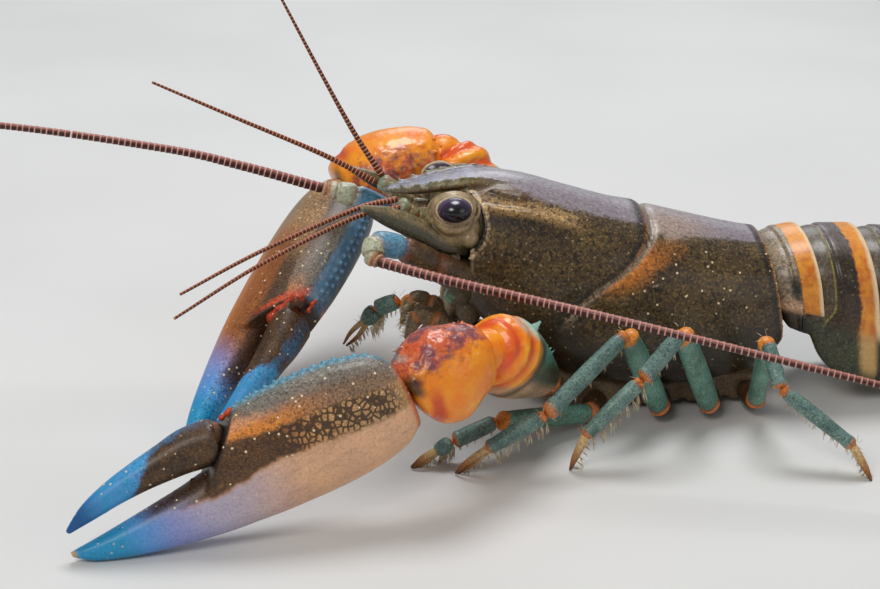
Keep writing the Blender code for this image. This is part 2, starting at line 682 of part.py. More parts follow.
def build_tail_fan():
    """Telson with two uropod blades on each side, set one below the other."""
    rear_x, _, top, _ = ABDOMEN_STATIONS[-1]
    root = (rear_x, 0, top - TELSON_ROOT_DROP)
    tip = (rear_x + TELSON_TIP[0], 0, TELSON_TIP[2])
    add_node("telson", "band", blade(root, tip, TELSON_WIDTHS, TELSON_HALF_THICKNESS, (0, 1, 0)))
    blades = (
        ("inner", INNER_BLADE_ROOT, INNER_BLADE_TIP, INNER_BLADE_WIDTHS, 0.3),
        ("outer", OUTER_BLADE_ROOT, OUTER_BLADE_TIP, OUTER_BLADE_WIDTHS, -0.6))
    for name, side in (("left", -1), ("right", 1)):
        for part, (root_y, root_drop), (back, out, height), widths, turn in blades:
            root = (rear_x, side * root_y, top - root_drop)
            tip = (rear_x + back, side * out, height)
            shape = blade(root, tip, widths, BLADE_HALF_THICKNESS, (turn, side, 0.0))
            add_node(f"uropod_{part}_{name}", "band", shape)


def feeler(points, radii, share_from, share_to, steps, sides, pull, start_normal=None):
    """Part of a thin tapering feeler along a smooth curve."""
    path = []
    sizes = []
    for index in range(steps + 1):
        share = share_from + (share_to - share_from) * index / steps
        path.append(path_at(points, share))
        radius = radii[0] + (radii[1] - radii[0]) * share
        sizes.append((radius, radius))
    return tube(path, sizes, (0, 0, 1), sides=sides, start_normal=start_normal, power=2.0, pull=pull)


def build_antenna(name, peduncle, points):
    """Long second antenna: a stout peduncle and its flagellum in two lengths."""
    path = (*peduncle, points[0])
    normal = path_at(points, 0.01) - Vector(points[0])
    add_node(f"antenna_peduncle_{name}", "peduncle", tube(
        path, PEDUNCLE_SIZES, (0, 0, 1), sides=10, start_normal=(1, 0, 0), end_normal=normal,
        pull=(GAP, HALF_GAP)))
    half_steps = FLAGELLUM_STEPS // 2
    first = feeler(points, FLAGELLUM_RADII, 0.0, 0.5, half_steps, 8, (HALF_GAP, HALF_GAP))
    second = feeler(points, FLAGELLUM_RADII, 0.5, 1.0, half_steps, 8, (HALF_GAP, 0.0))
    add_node(f"antenna_flagellum_base_{name}", "feeler", first)
    add_node(f"antenna_flagellum_end_{name}", "feeler", second)


def build_antennal_scale(name, side):
    """Leaf-like plate beside each antenna, thick along its outer edge, with a spine at its tip."""
    path = ((FRONT_X, side * 6.2, 24.9), (-0.6, side * 7.4, 26.4), (-4.0, side * 7.9, 28.9),
            (-8.2, side * 8.5, 31.1), (-11.8, side * 9.2, 32.7))
    sizes = ((0.5, 0.8), (0.5, 1.0), (0.5, 2.0), (0.45, 1.8), (0.3, 0.35))
    flat_normal = (0.25, side * 0.8, 0.45)
    add_node(f"antennal_scale_{name}", "peduncle", tube(
        path, sizes, flat_normal, sides=10, start_normal=(1, 0, 0), power=2.4, pull=(GAP, 0.0)))


def build_antennule(name, side, end, outer, inner):
    """Small first antenna: a jointed base with two thin flagella side by side."""
    end = Vector(end)
    normal = ((Vector(outer[0]) - end).normalized() + (Vector(inner[0]) - end).normalized()).normalized()
    apart = (Vector(inner[0]) - Vector(outer[0]))
    apart = (apart - apart.dot(normal) * normal).normalized() * ANTENNULE_APART
    path = ((CORE_FRONT_X, side * 1.75, 28.7), (-4.0, side * 2.7, 29.5), end)
    sizes = ((1.25, 1.25), (1.0, 1.0), (1.1, 1.3))
    add_node(f"antennule_base_{name}", "peduncle", tube(
        path, sizes, (0, 1, 0), sides=10, start_normal=(1, 0, 0), end_normal=normal, pull=(GAP, HALF_GAP)))
    for part, points, way in (("outer", outer, -1), ("inner", inner, 1)):
        path = (end + apart * way, *points)
        shape = feeler(path, ANTENNULE_RADII, 0.0, 1.0, 10, 6, (HALF_GAP, 0.0), normal)
        add_node(f"antennule_{part}_flagellum_{name}", "feeler", shape)


def build_maxilliped(name, side):
    """Outer mouth limb, lying forward below the head with its end bent down."""
    path = ((STERNUM_FRONT_X, side * 2.7, 6.6), (4.0, side * 3.1, 10.0), (-1.2, side * 3.3, 14.0),
            (-3.6, side * 3.1, 14.4), (-5.0, side * 2.8, 11.0))
    sizes = ((1.5, 1.9), (1.5, 1.9), (1.3, 1.5), (1.1, 1.2), (0.4, 0.5))
    add_node(f"maxilliped_{name}", "belly", tube(
        path, sizes, (0, 1, 0), sides=8, start_normal=(1, 0, 0), pull=(GAP, 0.0)))


def joint_normal(before, joint, after):
    """Direction square to the face that two limb pieces share at a joint."""
    first = (Vector(joint) - Vector(before)).normalized()
    second = (Vector(after) - Vector(joint)).normalized()
    return (first + second).normalized()


def bend_normal(first, second, third):
    """Direction square to the plane in which a limb bends."""
    return (Vector(second) - Vector(first)).cross(Vector(third) - Vector(second)).normalized()


def along_limb(start, end, rows, bulge, scale):
    """Path and sizes of one limb piece from rows of share, half thickness, half breadth and bulge."""
    start, end = Vector(start), Vector(end)
    path = [start.lerp(end, share) + bulge * shift * scale for share, _, _, shift in rows]
    sizes = [(thick * scale, broad * scale) for _, thick, broad, _ in rows]
    return path, sizes


def outer_side(start, middle, end):
    """Direction square to a limb piece, on the outer side of the bend at its far end."""
    along = (Vector(middle) - Vector(start)).normalized()
    onward = (Vector(end) - Vector(middle)).normalized()
    return (along * along.dot(onward) - onward).normalized()


def claw_axes(base, tip, up, side):
    """Directions along a claw, toward its movable finger and out of its back."""
    along = (Vector(tip) - Vector(base)).normalized()
    toward = (Vector(up) - Vector(up).dot(along) * along).normalized()
    return along, toward, along.cross(toward) * side


def claw_frame(base, axes, scale, slim):
    """Matrix from claw measures along those directions to the model."""
    along, toward, out = axes
    turn = Matrix((along * scale, toward * scale * slim, out * scale)).transposed().to_4x4()
    return Matrix.Translation(base) @ turn


def claw_loft(stations, steps, frame, sides=16, power=2.3):
    """Body of the hand or of a finger from a table of edges and half thickness."""
    first, last = stations[0][0], stations[-1][0]
    rings = []
    for index in range(steps + 1):
        distance = first + (last - first) * index / steps
        low, high, thick = curve_at(stations, distance)
        middle, half = (low + high) / 2, (high - low) / 2
        pairs = outline(sides, half, thick, thick, power)
        rings.append([frame @ Vector((distance, middle + across, out)) for across, out in pairs])
    return loft(rings)


def claw_tubercles(frame):
    """Row of blunt teeth along the upper edge of the hand, largest at mid length."""
    teeth = []
    for index in range(CLAW_TUBERCLES):
        share = index / (CLAW_TUBERCLES - 1)
        distance = 1.6 + 18.2 * share
        high = curve_at(PALM_STATIONS, distance)[1]
        size = 0.75 + 0.25 * math.sin(math.pi * share)
        root = frame @ Vector((distance - 0.1, high - 0.5, 0.35))
        tip = frame @ Vector((distance + 0.3, high + TUBERCLE_HEIGHT * size, 0.45))
        teeth.append(cone(root, tip, TUBERCLE_RADIUS * size, 5, 0.15))
    return teeth


def finger_teeth(frame, rows):
    """Low blunt teeth on a cutting edge, from rows of distance, edge height, direction and size."""
    teeth = []
    for distance, edge, way, size in rows:
        root = frame @ Vector((distance, edge - way * 0.5, 0.0))
        tip = frame @ Vector((distance, edge + way * 0.45 * size, 0.0))
        teeth.append(cone(root, tip, 0.6 * size, 6, 0.3))
    return teeth


def build_claw(name, base, tip, axes, scale, slim, before):
    """Hand with its fixed finger, and the movable finger, parted along the slanting hinge."""
    frame = claw_frame(base, axes, scale, slim)
    along, _, out = axes
    hinge_top, hinge_bottom = frame @ Vector((*HINGE_TOP, 0)), frame @ Vector((*HINGE_BOTTOM, 0))
    hinge_middle = (hinge_top + hinge_bottom) / 2
    hinge_normal = out.cross(hinge_bottom - hinge_top).normalized()
    if hinge_normal.dot(along) < 0:
        hinge_normal = -hinge_normal
    palm = claw_loft(PALM_STATIONS, 8, frame)
    cut_flat(palm, hinge_middle, hinge_normal)
    root_normal = joint_normal(before, base, tip)
    root_point = Vector(base) + root_normal * HALF_GAP
    cut_flat(palm, root_point, -root_normal)
    finger = claw_loft(FINGER_STATIONS, 10, frame, sides=14)
    edge_rows = ((28.5, 2.0, 1, 1.0), (31.0, 1.4, 1, 1.2), (33.6, 1.0, 1, 0.9), (36.4, 0.7, 1, 0.8))
    joined = [finger] + claw_tubercles(frame) + finger_teeth(frame, edge_rows)
    add_node(f"cheliped_propodus_{name}", "claw", palm, joined=joined, on_floor=True)
    path = [hinge_middle] + [frame @ Vector((*point, 0)) for point in DACTYL_PATH]
    sizes = [(thick * scale, broad * scale * slim) for thick, broad in zip(DACTYL_THICK, DACTYL_BROAD)]
    dactyl = tube(path, sizes, out, sides=12, start_normal=hinge_normal, pull=(GAP, 0.0))
    edge_rows = ((30.0, 3.9, -1, 0.9), (32.6, 3.95, -1, 1.1), (35.2, 3.8, -1, 0.8))
    add_node(f"cheliped_dactyl_{name}", "claw", dactyl, joined=finger_teeth(frame, edge_rows))


def build_arm(name, side, joints, tip, up, scale, slim):
    """Large cheliped: ischium, merus with its spine, bulky carpus with its spine, hand and finger."""
    root, elbow, wrist, base = joints
    thick_way = bend_normal(elbow, wrist, base)
    first_normal = joint_normal(root, elbow, wrist)
    second_normal = joint_normal(elbow, wrist, base)
    third_normal = joint_normal(wrist, base, tip)
    axes = claw_axes(base, tip, up, side)
    path, sizes = along_limb(root, elbow, ISCHIUM_ROWS, Vector(), scale)
    add_node(f"cheliped_ischium_{name}", "leg", tube(
        path, sizes, (1, 0, 0), sides=10, start_normal=(0, 1, 0), end_normal=first_normal,
        pull=(GAP, HALF_GAP)))
    back = outer_side(elbow, wrist, base)
    path, sizes = along_limb(elbow, wrist, MERUS_ROWS, back, scale)
    merus = tube(path, sizes, thick_way, sides=12, start_normal=first_normal, end_normal=second_normal,
                 pull=(HALF_GAP, HALF_GAP))
    spine_root = Vector(elbow).lerp(Vector(wrist), MERUS_SPINE_SHARE) + back * MERUS_SPINE_ROOT * scale
    spine = cone(spine_root, spine_root + back * MERUS_SPINE_LENGTH * scale, 1.3 * scale, 6)
    add_node(f"cheliped_merus_{name}", "orange", merus, joined=[spine])
    path, sizes = along_limb(wrist, base, CARPUS_ROWS, outer_side(base, wrist, elbow), scale)
    carpus = tube(path, sizes, axes[2], sides=14, start_normal=second_normal, end_normal=third_normal,
                  pull=(HALF_GAP, HALF_GAP))
    onward = (Vector(base) - Vector(wrist)).normalized()
    spine_root = Vector(wrist).lerp(Vector(base), 0.6) + axes[1] * 5.0 * scale
    spine = cone(spine_root, spine_root + onward * 5.0 + axes[1] * 1.6, 1.2, 6)
    add_node(f"cheliped_carpus_{name}", "orange", carpus, joined=[spine])
    build_claw(name, base, tip, axes, scale, slim, wrist)


def pincer(wrist, palm, tip, thick_way):
    """Two small fingers at the end of a leg, a little apart at their middles."""
    along = (tip - palm).normalized()
    spread = along.cross(thick_way).normalized()
    fingers = []
    for way in (-1, 1):
        start = palm.lerp(wrist, 0.12) + spread * way * 0.3
        middle = palm.lerp(tip, 0.5) + spread * way * 0.62
        end = tip + spread * way * 0.25 - Vector((0, 0, 0.25))
        fingers.append(tube((start, middle, end), PINCER_SIZES, thick_way, sides=6))
    return fingers


def build_leg(name, number, joints):
    """Walking leg in two nodes that part at the knee. The first two pairs end in a small pincer."""
    root, hip, knee, wrist, palm, tip = (Vector(joint) for joint in joints)
    thick_way = bend_normal(hip, knee, wrist)
    knee_normal = joint_normal(hip, knee, wrist)
    slim = LAST_LEG_SLIM if number == LAST_LEG else 1.0
    upper_path = (root, hip, hip.lerp(knee, 0.3), hip.lerp(knee, 0.75), knee)
    upper_sizes = [(thick, broad * slim) for thick, broad in LEG_UPPER_SIZES]
    add_node(f"leg_{number}_upper_{name}", "leg", tube(
        upper_path, upper_sizes, thick_way, sides=8, start_normal=(0, 1, 0), end_normal=knee_normal,
        pull=(GAP, HALF_GAP)))
    lower_path = [knee, knee.lerp(wrist, 0.3), wrist, wrist.lerp(palm, 0.3), palm]
    lower_sizes = [(thick, broad * slim) for thick, broad in LEG_LOWER_SIZES]
    fingers = []
    if number <= 1 + PINCER_LEGS:
        fingers = pincer(wrist, palm, tip, thick_way)
    else:
        lower_path += [palm.lerp(tip, 0.55), tip - Vector((0, 0, 0.3))]
        lower_sizes += LEG_TIP_SIZES
    lower = tube(lower_path, lower_sizes, thick_way, sides=8, start_normal=knee_normal,
                 pull=(HALF_GAP, 0.0))
    add_node(f"leg_{number}_lower_{name}", "leg", lower, joined=fingers, on_floor=True)


def build_all():
    """Build every part about one empty."""
    clear_scene()
    middle = bpy.data.objects.new("middle", None)
    middle.location = Vector(ORIGIN_SHIFT) * MM
    bpy.context.collection.objects.link(middle)
    build_carapace()
    build_underside()
    build_abdomen()
    build_tail_fan()
    build_antennule("left", -1, *LEFT_ANTENNULE)
    build_antennule("right", 1, *RIGHT_ANTENNULE)
    build_antenna("left", LEFT_PEDUNCLE, LEFT_FLAGELLUM)
    build_antenna("right", RIGHT_PEDUNCLE, RIGHT_FLAGELLUM)
    for name, side in (("left", -1), ("right", 1)):
        build_eye(name, side)
        build_antennal_scale(name, side)
        build_maxilliped(name, side)
    build_arm("left", -1, LEFT_ARM, LEFT_CLAW_TIP, LEFT_CLAW_UP, 1.0, 1.0)
    build_arm("right", 1, RIGHT_ARM, RIGHT_CLAW_TIP, RIGHT_CLAW_UP, RIGHT_CLAW_SCALE, RIGHT_CLAW_SLIM)
    for name, legs in (("left", LEFT_LEGS), ("right", RIGHT_LEGS)):
        for index, joints in enumerate(legs):
            build_leg(name, index + 2, joints)


build_all()
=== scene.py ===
# The looks of a life-size still model of a male tiger crayfish.
# Every solid of the frame gets a finer painted shell with its own rings, teeth, folds and bristles.
# Lengths are in millimetres about the body's own middle: head toward -X, its left side toward -Y.
# Colours are 8-bit values, as on a paint chart.

import functools
import math
import random

import bmesh
import bpy
from mathutils import Matrix, Vector, noise


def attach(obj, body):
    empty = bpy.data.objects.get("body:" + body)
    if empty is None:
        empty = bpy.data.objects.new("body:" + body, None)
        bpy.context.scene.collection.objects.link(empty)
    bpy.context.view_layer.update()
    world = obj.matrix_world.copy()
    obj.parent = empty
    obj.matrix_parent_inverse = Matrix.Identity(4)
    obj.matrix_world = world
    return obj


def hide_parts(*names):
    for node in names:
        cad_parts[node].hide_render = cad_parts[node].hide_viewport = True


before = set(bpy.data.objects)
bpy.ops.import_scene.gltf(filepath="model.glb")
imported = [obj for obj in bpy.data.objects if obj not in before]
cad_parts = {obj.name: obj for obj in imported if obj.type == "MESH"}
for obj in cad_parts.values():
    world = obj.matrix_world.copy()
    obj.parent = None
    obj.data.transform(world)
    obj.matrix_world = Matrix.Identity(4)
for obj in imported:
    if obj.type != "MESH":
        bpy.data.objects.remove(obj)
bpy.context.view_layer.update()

MM = 0.001
MIDDLE = Vector((2.74, 6.74, 0.0))
WELD = 0.0005
SIDES = (("left", -1), ("right", 1))

# Carapace: position along the body, half width, height of the back, height of the lower edge.
CARAPACE_STATIONS = (
    (3.0, 8.6, 33.6, 16.4),
    (6.2, 9.5, 34.2, 12.8),
    (11.0, 10.6, 33.7, 8.9),
    (17.0, 11.4, 31.8, 6.0),
    (24.0, 11.8, 29.6, 4.1),
    (31.0, 11.8, 27.8, 3.5),
    (38.0, 11.3, 25.9, 4.2),
    (42.5, 10.4, 24.8, 5.8),
    (45.2, 9.5, 24.3, 8.8),
)
CARAPACE_STEP = 0.26
CARAPACE_SIDES = 208
CARAPACE_POWER_TOP = 2.1
CARAPACE_POWER_LOW = 3.0
CARAPACE_REAR_LEAN = 0.16
REAR_LEAN_FROM = 27.0
CARAPACE_VOXEL = 0.25
FRONT_RECESS = ((5.4, 2.4), (3.9, 1.5), (3.15, 0.8), (3.0, 0.3))
REAR_RECESS = ((45.2, 0.35), (44.6, 0.8), (43.4, 1.2))
UNDERSIDE_RISE = 1.6
UNDERSIDE_SHARE = 0.66

# The neck groove as heights and positions, and the faint grooves of the back as position and width.
NECK_GROOVE = (
    (14.0, 15.0), (16.2, 16.4), (18.3, 18.1), (20.3, 20.6), (22.7, 24.7), (24.8, 27.0), (26.6, 28.3),
    (28.8, 28.6))
GROOVE_DEPTH = 0.5
GROOVE_WIDTH = 0.5
GROOVE_STEP = 0.22
BACK_LINES = ((30.0, 7.2), (31.0, 6.6), (35.6, 5.3), (44.6, 3.6))
BACK_STRIP = ((-8.0, 3.0), (3.0, 3.3), (7.8, 3.8), (13.0, 5.3), (21.4, 5.4), (27.6, 5.2), (29.0, 6.4),
              (31.0, 6.6), (35.6, 5.3), (44.6, 3.8))
LOW_SHADE = ((3.0, 20.0), (7.0, 18.9), (15.0, 16.2), (23.4, 11.8), (34.5, 13.6), (45.0, 14.5))
EYE_RIDGE = ((4.6, 6.1, 31.3), (7.3, 6.9, 30.8), (11.3, 7.3, 30.2), (15.4, 7.6, 29.0), (18.5, 7.9, 27.9))

# Rostrum: position, half width, height of the upper face, thickness.
ROSTRUM_STATIONS = (
    (12.0, 3.2, 32.6, 2.2),
    (5.0, 3.9, 34.5, 2.4),
    (0.0, 3.4, 34.1, 2.0),
    (-4.0, 2.5, 33.4, 1.6),
    (-6.4, 1.3, 32.9, 1.1),
    (-7.8, 0.35, 32.5, 0.6),
)
ROSTRUM_RIM = 0.42
ROSTRUM_TEETH = (-1.6, -3.6, -5.4)
CHEEK_SPINES = (
    ((10.5, 5.6, 31.6), (6.0, 4.9, 33.3), 0.9),
    ((6.0, 8.6, 24.2), (2.0, 8.9, 25.0), 0.9),
    ((29.2, 10.9, 20.0), (27.4, 12.0, 20.6), 0.5),
)
ORBIT_CENTRE = (1.0, 29.2)
ORBIT_RADIUS = 4.1
ORBIT_INNER_Y = 3.3
CORE_FRONT_X = -1.4
CORE_REAR_X = 8.0
CORE_HEIGHTS = (26.2, 32.5)

EYE_CENTRE = (0.9, 9.0, 31.6)
CORNEA_RADII = (2.35, 2.3, 1.75)
CORNEA_PLANE_Y = 7.9
STALK_ROWS = (
    (3.4, 29.3, 2.0, 2.0), (4.9, 29.5, 2.3, 2.2), (6.0, 29.9, 2.7, 2.6), (7.0, 30.4, 2.85, 2.75),
    (8.0, 30.9, 2.7, 2.35))
# Folds of the stalk round the cornea: share of its radii, distance from the middle plane, thickness.
STALK_FOLDS = ((1.0, 8.15, 0.26), (1.2, 7.6, 0.26), (1.5, 7.3, 0.22))

# Round forms of the mouth field: on the middle plane, and on each side with their rings and sides.
MOUTH_PLATE = (((1.9, 0, 23.0), (2.4, 3.9, 3.4)), ((2.2, 0, 19.0), (1.8, 3.2, 2.6)))
MOUTH_SIDES = (
    ((2.2, 6.1, 20.6), (2.3, 2.5, 3.2), 16, 24),
    ((0.8, 6.7, 18.6), (1.1, 1.1, 1.0), 12, 16),
    ((2.6, 2.0, 16.2), (2.4, 1.9, 2.8), 16, 24),
    ((3.4, 4.6, 16.8), (2.2, 1.8, 3.2), 16, 24),
)

# Abdomen segments: front and rear position, half width, back height, lobe bottom, at the middle.
ABDOMEN_STATIONS = (
    (45.8, 8.9, 23.6, 12.6),
    (51.6, 9.2, 24.2, 10.8),
    (59.8, 9.5, 23.9, 6.4),
    (67.4, 9.3, 23.0, 6.6),
    (74.6, 8.8, 21.6, 6.6),
    (81.2, 8.2, 19.6, 6.4),
    (89.4, 6.8, 16.4, 6.6),
)
LOBE_DEPTHS = (0.6, 4.2, 4.4, 4.0, 3.6, 2.2)
LOBE_ROUNDING = 0.7
BELLY_SHARE = 0.32
BELLY_SAG = 0.8
WAIST_SHARE = 0.5
ABDOMEN_LEAN_LENGTH = 45.0
SEGMENT_STEPS = 64
# One segment: share of its length, swell of the ring, share of the lobe, lift of the lobe.
SEGMENT_ROWS = (
    (-0.14, -1.15, 0.0, 0.6), (-0.02, -0.8, 0.0, 0.6), (0.1, -0.5, 0.45, 0.0), (0.22, -0.3, 0.75, 0.0),
    (0.3, -0.26, 0.85, 0.0), (0.36, 0.0, 0.9, 0.0), (0.55, 0.05, 1.0, 0.0), (0.8, 0.13, 0.8, 0.0),
    (0.92, 0.16, 0.5, 0.0), (0.98, 0.12, 0.2, 0.3), (1.0, -0.1, 0.1, 0.6))
# Segment whose side lobes are large plates: how far they reach forward and stand out.
PLATE_SEGMENT = 2
PLATE_REACH = 2.4
PLATE_RISE = 0.55
SWIMMERET_SEGMENTS = (2, 3, 4, 5)
SWIMMERET_ROWS = ((-0.5, -1.2, 0.7, 0.9), (0.0, 2.2, 0.5, 1.5), (1.0, 4.6, 0.4, 1.7), (2.0, 6.6, 0.25, 0.8))
SWIMMERET_SPREAD = 0.5

# Tail fan: root, reach and half widths of each blade.
TELSON_ROOT_DROP = 2.0
TELSON_TIP = (12.6, 0.0, 6.2)
TELSON_WIDTHS = (4.6, 5.2, 5.4, 5.3, 4.9, 4.2, 2.6)
INNER_BLADE_ROOT = (3.0, 4.7)
INNER_BLADE_TIP = (12.9, 8.6, 4.2)
INNER_BLADE_WIDTHS = (1.7, 3.6, 4.5, 4.7, 4.5, 3.7, 2.0)
OUTER_BLADE_ROOT = (4.2, 7.4)
OUTER_BLADE_TIP = (10.9, 15.2, 2.2)
OUTER_BLADE_WIDTHS = (1.6, 3.4, 4.6, 5.0, 4.8, 4.0, 2.2)
TELSON_HALF_THICKNESS = 0.7
BLADE_HALF_THICKNESS = 0.55
BLADE_ARCH = 0.9

# Antennal flagella: points along each, from the peduncle to the free end.
LEFT_FLAGELLUM = (
    (-9.9, -14.9, 27.0), (-1.1, -19.0, 25.4), (20.7, -29.0, 22.3),
    (50.5, -40.0, 16.7), (68.0, -44.5, 12.6), (82.0, -47.0, 9.0),
)
RIGHT_FLAGELLUM = (
    (-15.5, 10.0, 29.6), (-26.5, 12.2, 32.6), (-38.0, 14.0, 35.2),
    (-64.0, 18.0, 38.6), (-88.0, 23.0, 38.0), (-108.0, 28.0, 33.0),
)
FLAGELLUM_RADII = (0.78, 0.3)
FLAGELLUM_RING = 0.84
LEFT_PEDUNCLE = ((3.0, -6.6, 20.9), (-2.2, -9.4, 24.4), (-6.6, -11.6, 27.6), (-9.9, -12.9, 28.7),
                 (-10.7, -14.0, 27.6))
RIGHT_PEDUNCLE = ((3.0, 6.6, 20.9), (-2.0, 8.6, 23.4), (-6.2, 9.5, 25.9), (-10.6, 9.6, 28.2),
                  (-13.4, 9.8, 29.1))
PEDUNCLE_SIZES = ((2.3, 2.2), (2.0, 1.9), (1.7, 1.6), (1.75, 1.65), (1.4, 1.4), (0.95, 0.95))
PEDUNCLE_JOINTS = (0.2, 0.4, 0.62, 0.8, 0.93)

LEFT_ANTENNULE = (
    (-6.2, -3.6, 31.3),
    ((-12.6, -5.9, 30.2), (-25.5, -10.8, 25.8), (-37.0, -14.6, 20.2)),
    ((-12.6, -5.3, 31.1), (-25.6, -9.8, 27.2), (-36.1, -13.4, 23.1)),
)
RIGHT_ANTENNULE = (
    (-8.0, 3.6, 32.6),
    ((-15.8, 4.6, 36.2), (-27.0, 5.2, 41.4), (-38.6, 6.0, 46.8)),
    ((-11.2, 5.0, 38.8), (-15.2, 6.2, 46.4), (-20.7, 8.0, 57.4)),
)
ANTENNULE_RADII = (0.48, 0.2)
ANTENNULE_RING = 0.55
ANTENNULE_APART = 0.62
# Rings of each short feeler joint, as shares of its length; the last two are its pale edge.
RING_PHASES = (0.0, 0.1, 0.42, 0.72, 0.84, 0.97)
PALE_EDGE_FROM = 0.74

# Claw: distance along, lower edge, upper edge, half thickness.
PALM_STATIONS = (
    (0.0, -3.6, 4.4, 3.0),
    (2.2, -5.2, 6.9, 3.9),
    (6.0, -6.2, 8.2, 4.4),
    (11.0, -6.6, 8.8, 4.5),
    (17.0, -6.5, 8.8, 4.4),
    (22.0, -6.2, 8.4, 4.0),
    (27.5, -5.6, 7.8, 3.5),
)
FINGER_STATIONS = (
    (18.0, -6.2, 0.8, 3.6),
    (23.0, -6.05, 2.4, 3.5),
    (26.5, -5.75, 2.5, 3.3),
    (30.0, -5.25, 1.9, 2.9),
    (34.5, -4.4, 1.35, 2.4),
    (39.0, -3.3, 0.85, 1.9),
    (43.0, -1.9, 0.5, 1.2),
    (45.4, -0.3, 0.4, 0.35),
)
HINGE_TOP = (20.9, 8.5)
HINGE_BOTTOM = (26.2, 2.5)
# Movable finger: its middle line, half breadths and half thicknesses.
DACTYL_PATH = ((27.4, 5.9), (30.5, 5.75), (34.2, 5.45), (38.0, 4.9), (41.6, 4.0), (44.8, 2.8))
DACTYL_BROAD = (2.9, 2.75, 2.35, 1.95, 1.6, 1.15, 0.3)
DACTYL_THICK = (3.1, 2.6, 2.2, 1.9, 1.5, 1.0, 0.3)
# Upper and lower edge of the dark net along the hand.
NET_TOP = ((0.0, 3.4), (3.3, 3.9), (9.8, 4.7), (17.7, 5.0), (22.5, 5.8), (30.0, 6.0))
NET_LOW = ((0.0, 0.2), (4.9, 0.3), (11.5, 0.8), (18.7, 1.2), (23.4, 0.4), (28.0, 0.0), (36.0, 0.6))
CLAW_VOXEL = 0.2
MARGIN_TEETH = 30
# Teeth of the cutting edges: distance, height of the edge, direction, size.
FIXED_TEETH = (
    (28.5, 2.0, 1, 1.0), (31.0, 1.4, 1, 1.2), (33.6, 1.0, 1, 0.9), (36.4, 0.7, 1, 0.8),
    (38.4, 0.5, 1, 0.6), (40.2, 0.4, 1, 0.5))
MOVABLE_TEETH = (
    (30.0, 3.9, -1, 0.9), (32.6, 3.95, -1, 1.1), (35.2, 3.8, -1, 0.8), (37.4, 3.6, -1, 0.6),
    (39.4, 3.3, -1, 0.5))
# Knobs at the hinge: distance, height, shift out of the back, radius.
HINGE_KNOBS = (
    (24.7, 5.9, 0.0, 2.45), (21.3, 8.2, 0.5, 0.45), (22.2, 7.9, 0.3, 0.45), (20.8, 8.5, 0.6, 0.3))

ISCHIUM_ROWS = ((0.0, 1.9, 1.9, 0.0), (0.5, 2.0, 2.0, 0.0), (1.0, 2.3, 2.3, 0.0))
MERUS_ROWS = (
    (0.0, 2.4, 2.5, 0.0), (0.28, 3.3, 3.9, 0.1), (0.6, 4.1, 5.2, 0.4), (0.82, 4.3, 4.9, 1.0),
    (1.0, 3.4, 3.8, 0.0))
MERUS_SPINE_SHARE = 0.72
MERUS_SPINE_ROOT = 4.2
MERUS_SPINE_LENGTH = 3.4
CARPUS_ROWS = (
    (0.0, 3.4, 3.8, 0.0), (0.3, 4.7, 5.2, 0.8), (0.58, 5.2, 6.4, 0.9), (0.84, 4.8, 5.4, 0.6),
    (1.0, 3.2, 4.0, 0.0))

# Limb joints, from the body outward.
LEFT_ARM = ((14.6, -6.0, 4.3), (12.6, -13.2, 8.6), (1.8, -29.6, 19.4), (-8.4, -35.0, 16.1))
LEFT_CLAW_TIP = (-49.7, -42.9, 1.3)
LEFT_CLAW_UP = (0.0, 0.15, 1.0)
RIGHT_ARM = ((14.6, 6.0, 4.3), (12.4, 13.4, 10.4), (3.4, 23.6, 29.6), (-11.6, 21.8, 24.8))
RIGHT_CLAW_TIP = (-36.0, -14.0, 1.0)
RIGHT_CLAW_UP = (0.695, -0.688, 0.213)
RIGHT_CLAW_SCALE = 1.09
RIGHT_CLAW_SLIM = 0.84

# Walking legs: body joint, hip bend, knee, wrist, hand end, tip.
LEFT_LEGS = (
    ((21.5, -6.0, 2.1), (19.4, -11.0, 2.1), (5.1, -20.0, 5.6), (-1.0, -21.2, 3.5), (-3.4, -21.4, 2.2),
     (-6.6, -21.6, 0.1)),
    ((30.4, -6.0, 2.1), (29.5, -10.8, 2.3), (22.4, -20.0, 17.3), (10.6, -26.0, 8.8), (2.8, -25.6, 4.1),
     (-0.9, -24.0, 0.1)),
    ((37.4, -6.0, 2.1), (36.6, -10.8, 2.3), (29.7, -21.0, 17.5), (23.7, -24.2, 12.3), (15.9, -25.2, 5.0),
     (14.2, -24.7, 0.0)),
    ((43.0, -6.0, 2.4), (43.2, -10.8, 2.6), (41.0, -22.0, 16.1), (42.0, -26.0, 10.8), (51.0, -31.0, 4.1),
     (52.9, -33.0, 0.0)),
)
RIGHT_LEGS = (
    ((21.5, 6.0, 2.1), (18.0, 11.5, 1.9), (-4.1, 15.6, 10.1), (-7.2, 17.6, 8.2), (-9.0, 18.6, 5.6),
     (-11.9, 20.0, 1.6)),
    ((30.4, 6.0, 2.1), (29.5, 10.8, 2.3), (20.0, 20.5, 17.0), (9.6, 25.0, 10.0), (3.0, 26.6, 4.8),
     (-0.6, 27.4, 0.1)),
    ((37.4, 6.0, 2.1), (37.0, 10.8, 2.3), (31.0, 21.0, 17.2), (26.4, 26.0, 12.0), (19.8, 29.4, 4.8),
     (18.2, 30.4, 0.0)),
    ((43.0, 6.0, 2.4), (43.6, 10.8, 2.6), (43.6, 22.0, 16.0), (45.6, 26.6, 10.8), (53.6, 31.6, 4.1),
     (55.4, 33.6, 0.0)),
)
LAST_PINCER_LEG = 3
LAST_LEG = 5
LAST_LEG_SLIM = 0.82
PINCER_SIZES = ((0.5, 0.45), (0.42, 0.34), (0.16, 0.14))

# Camera: turned from square to the body's left side, raised, at a distance from what it looks at.
CAMERA_TURN = 7.3
CAMERA_RISE = 20.3
CAMERA_DISTANCE = 300.0
CAMERA_TARGET = (0.0, 0.0, 16.5)
FOCAL_LENGTH = 87.66

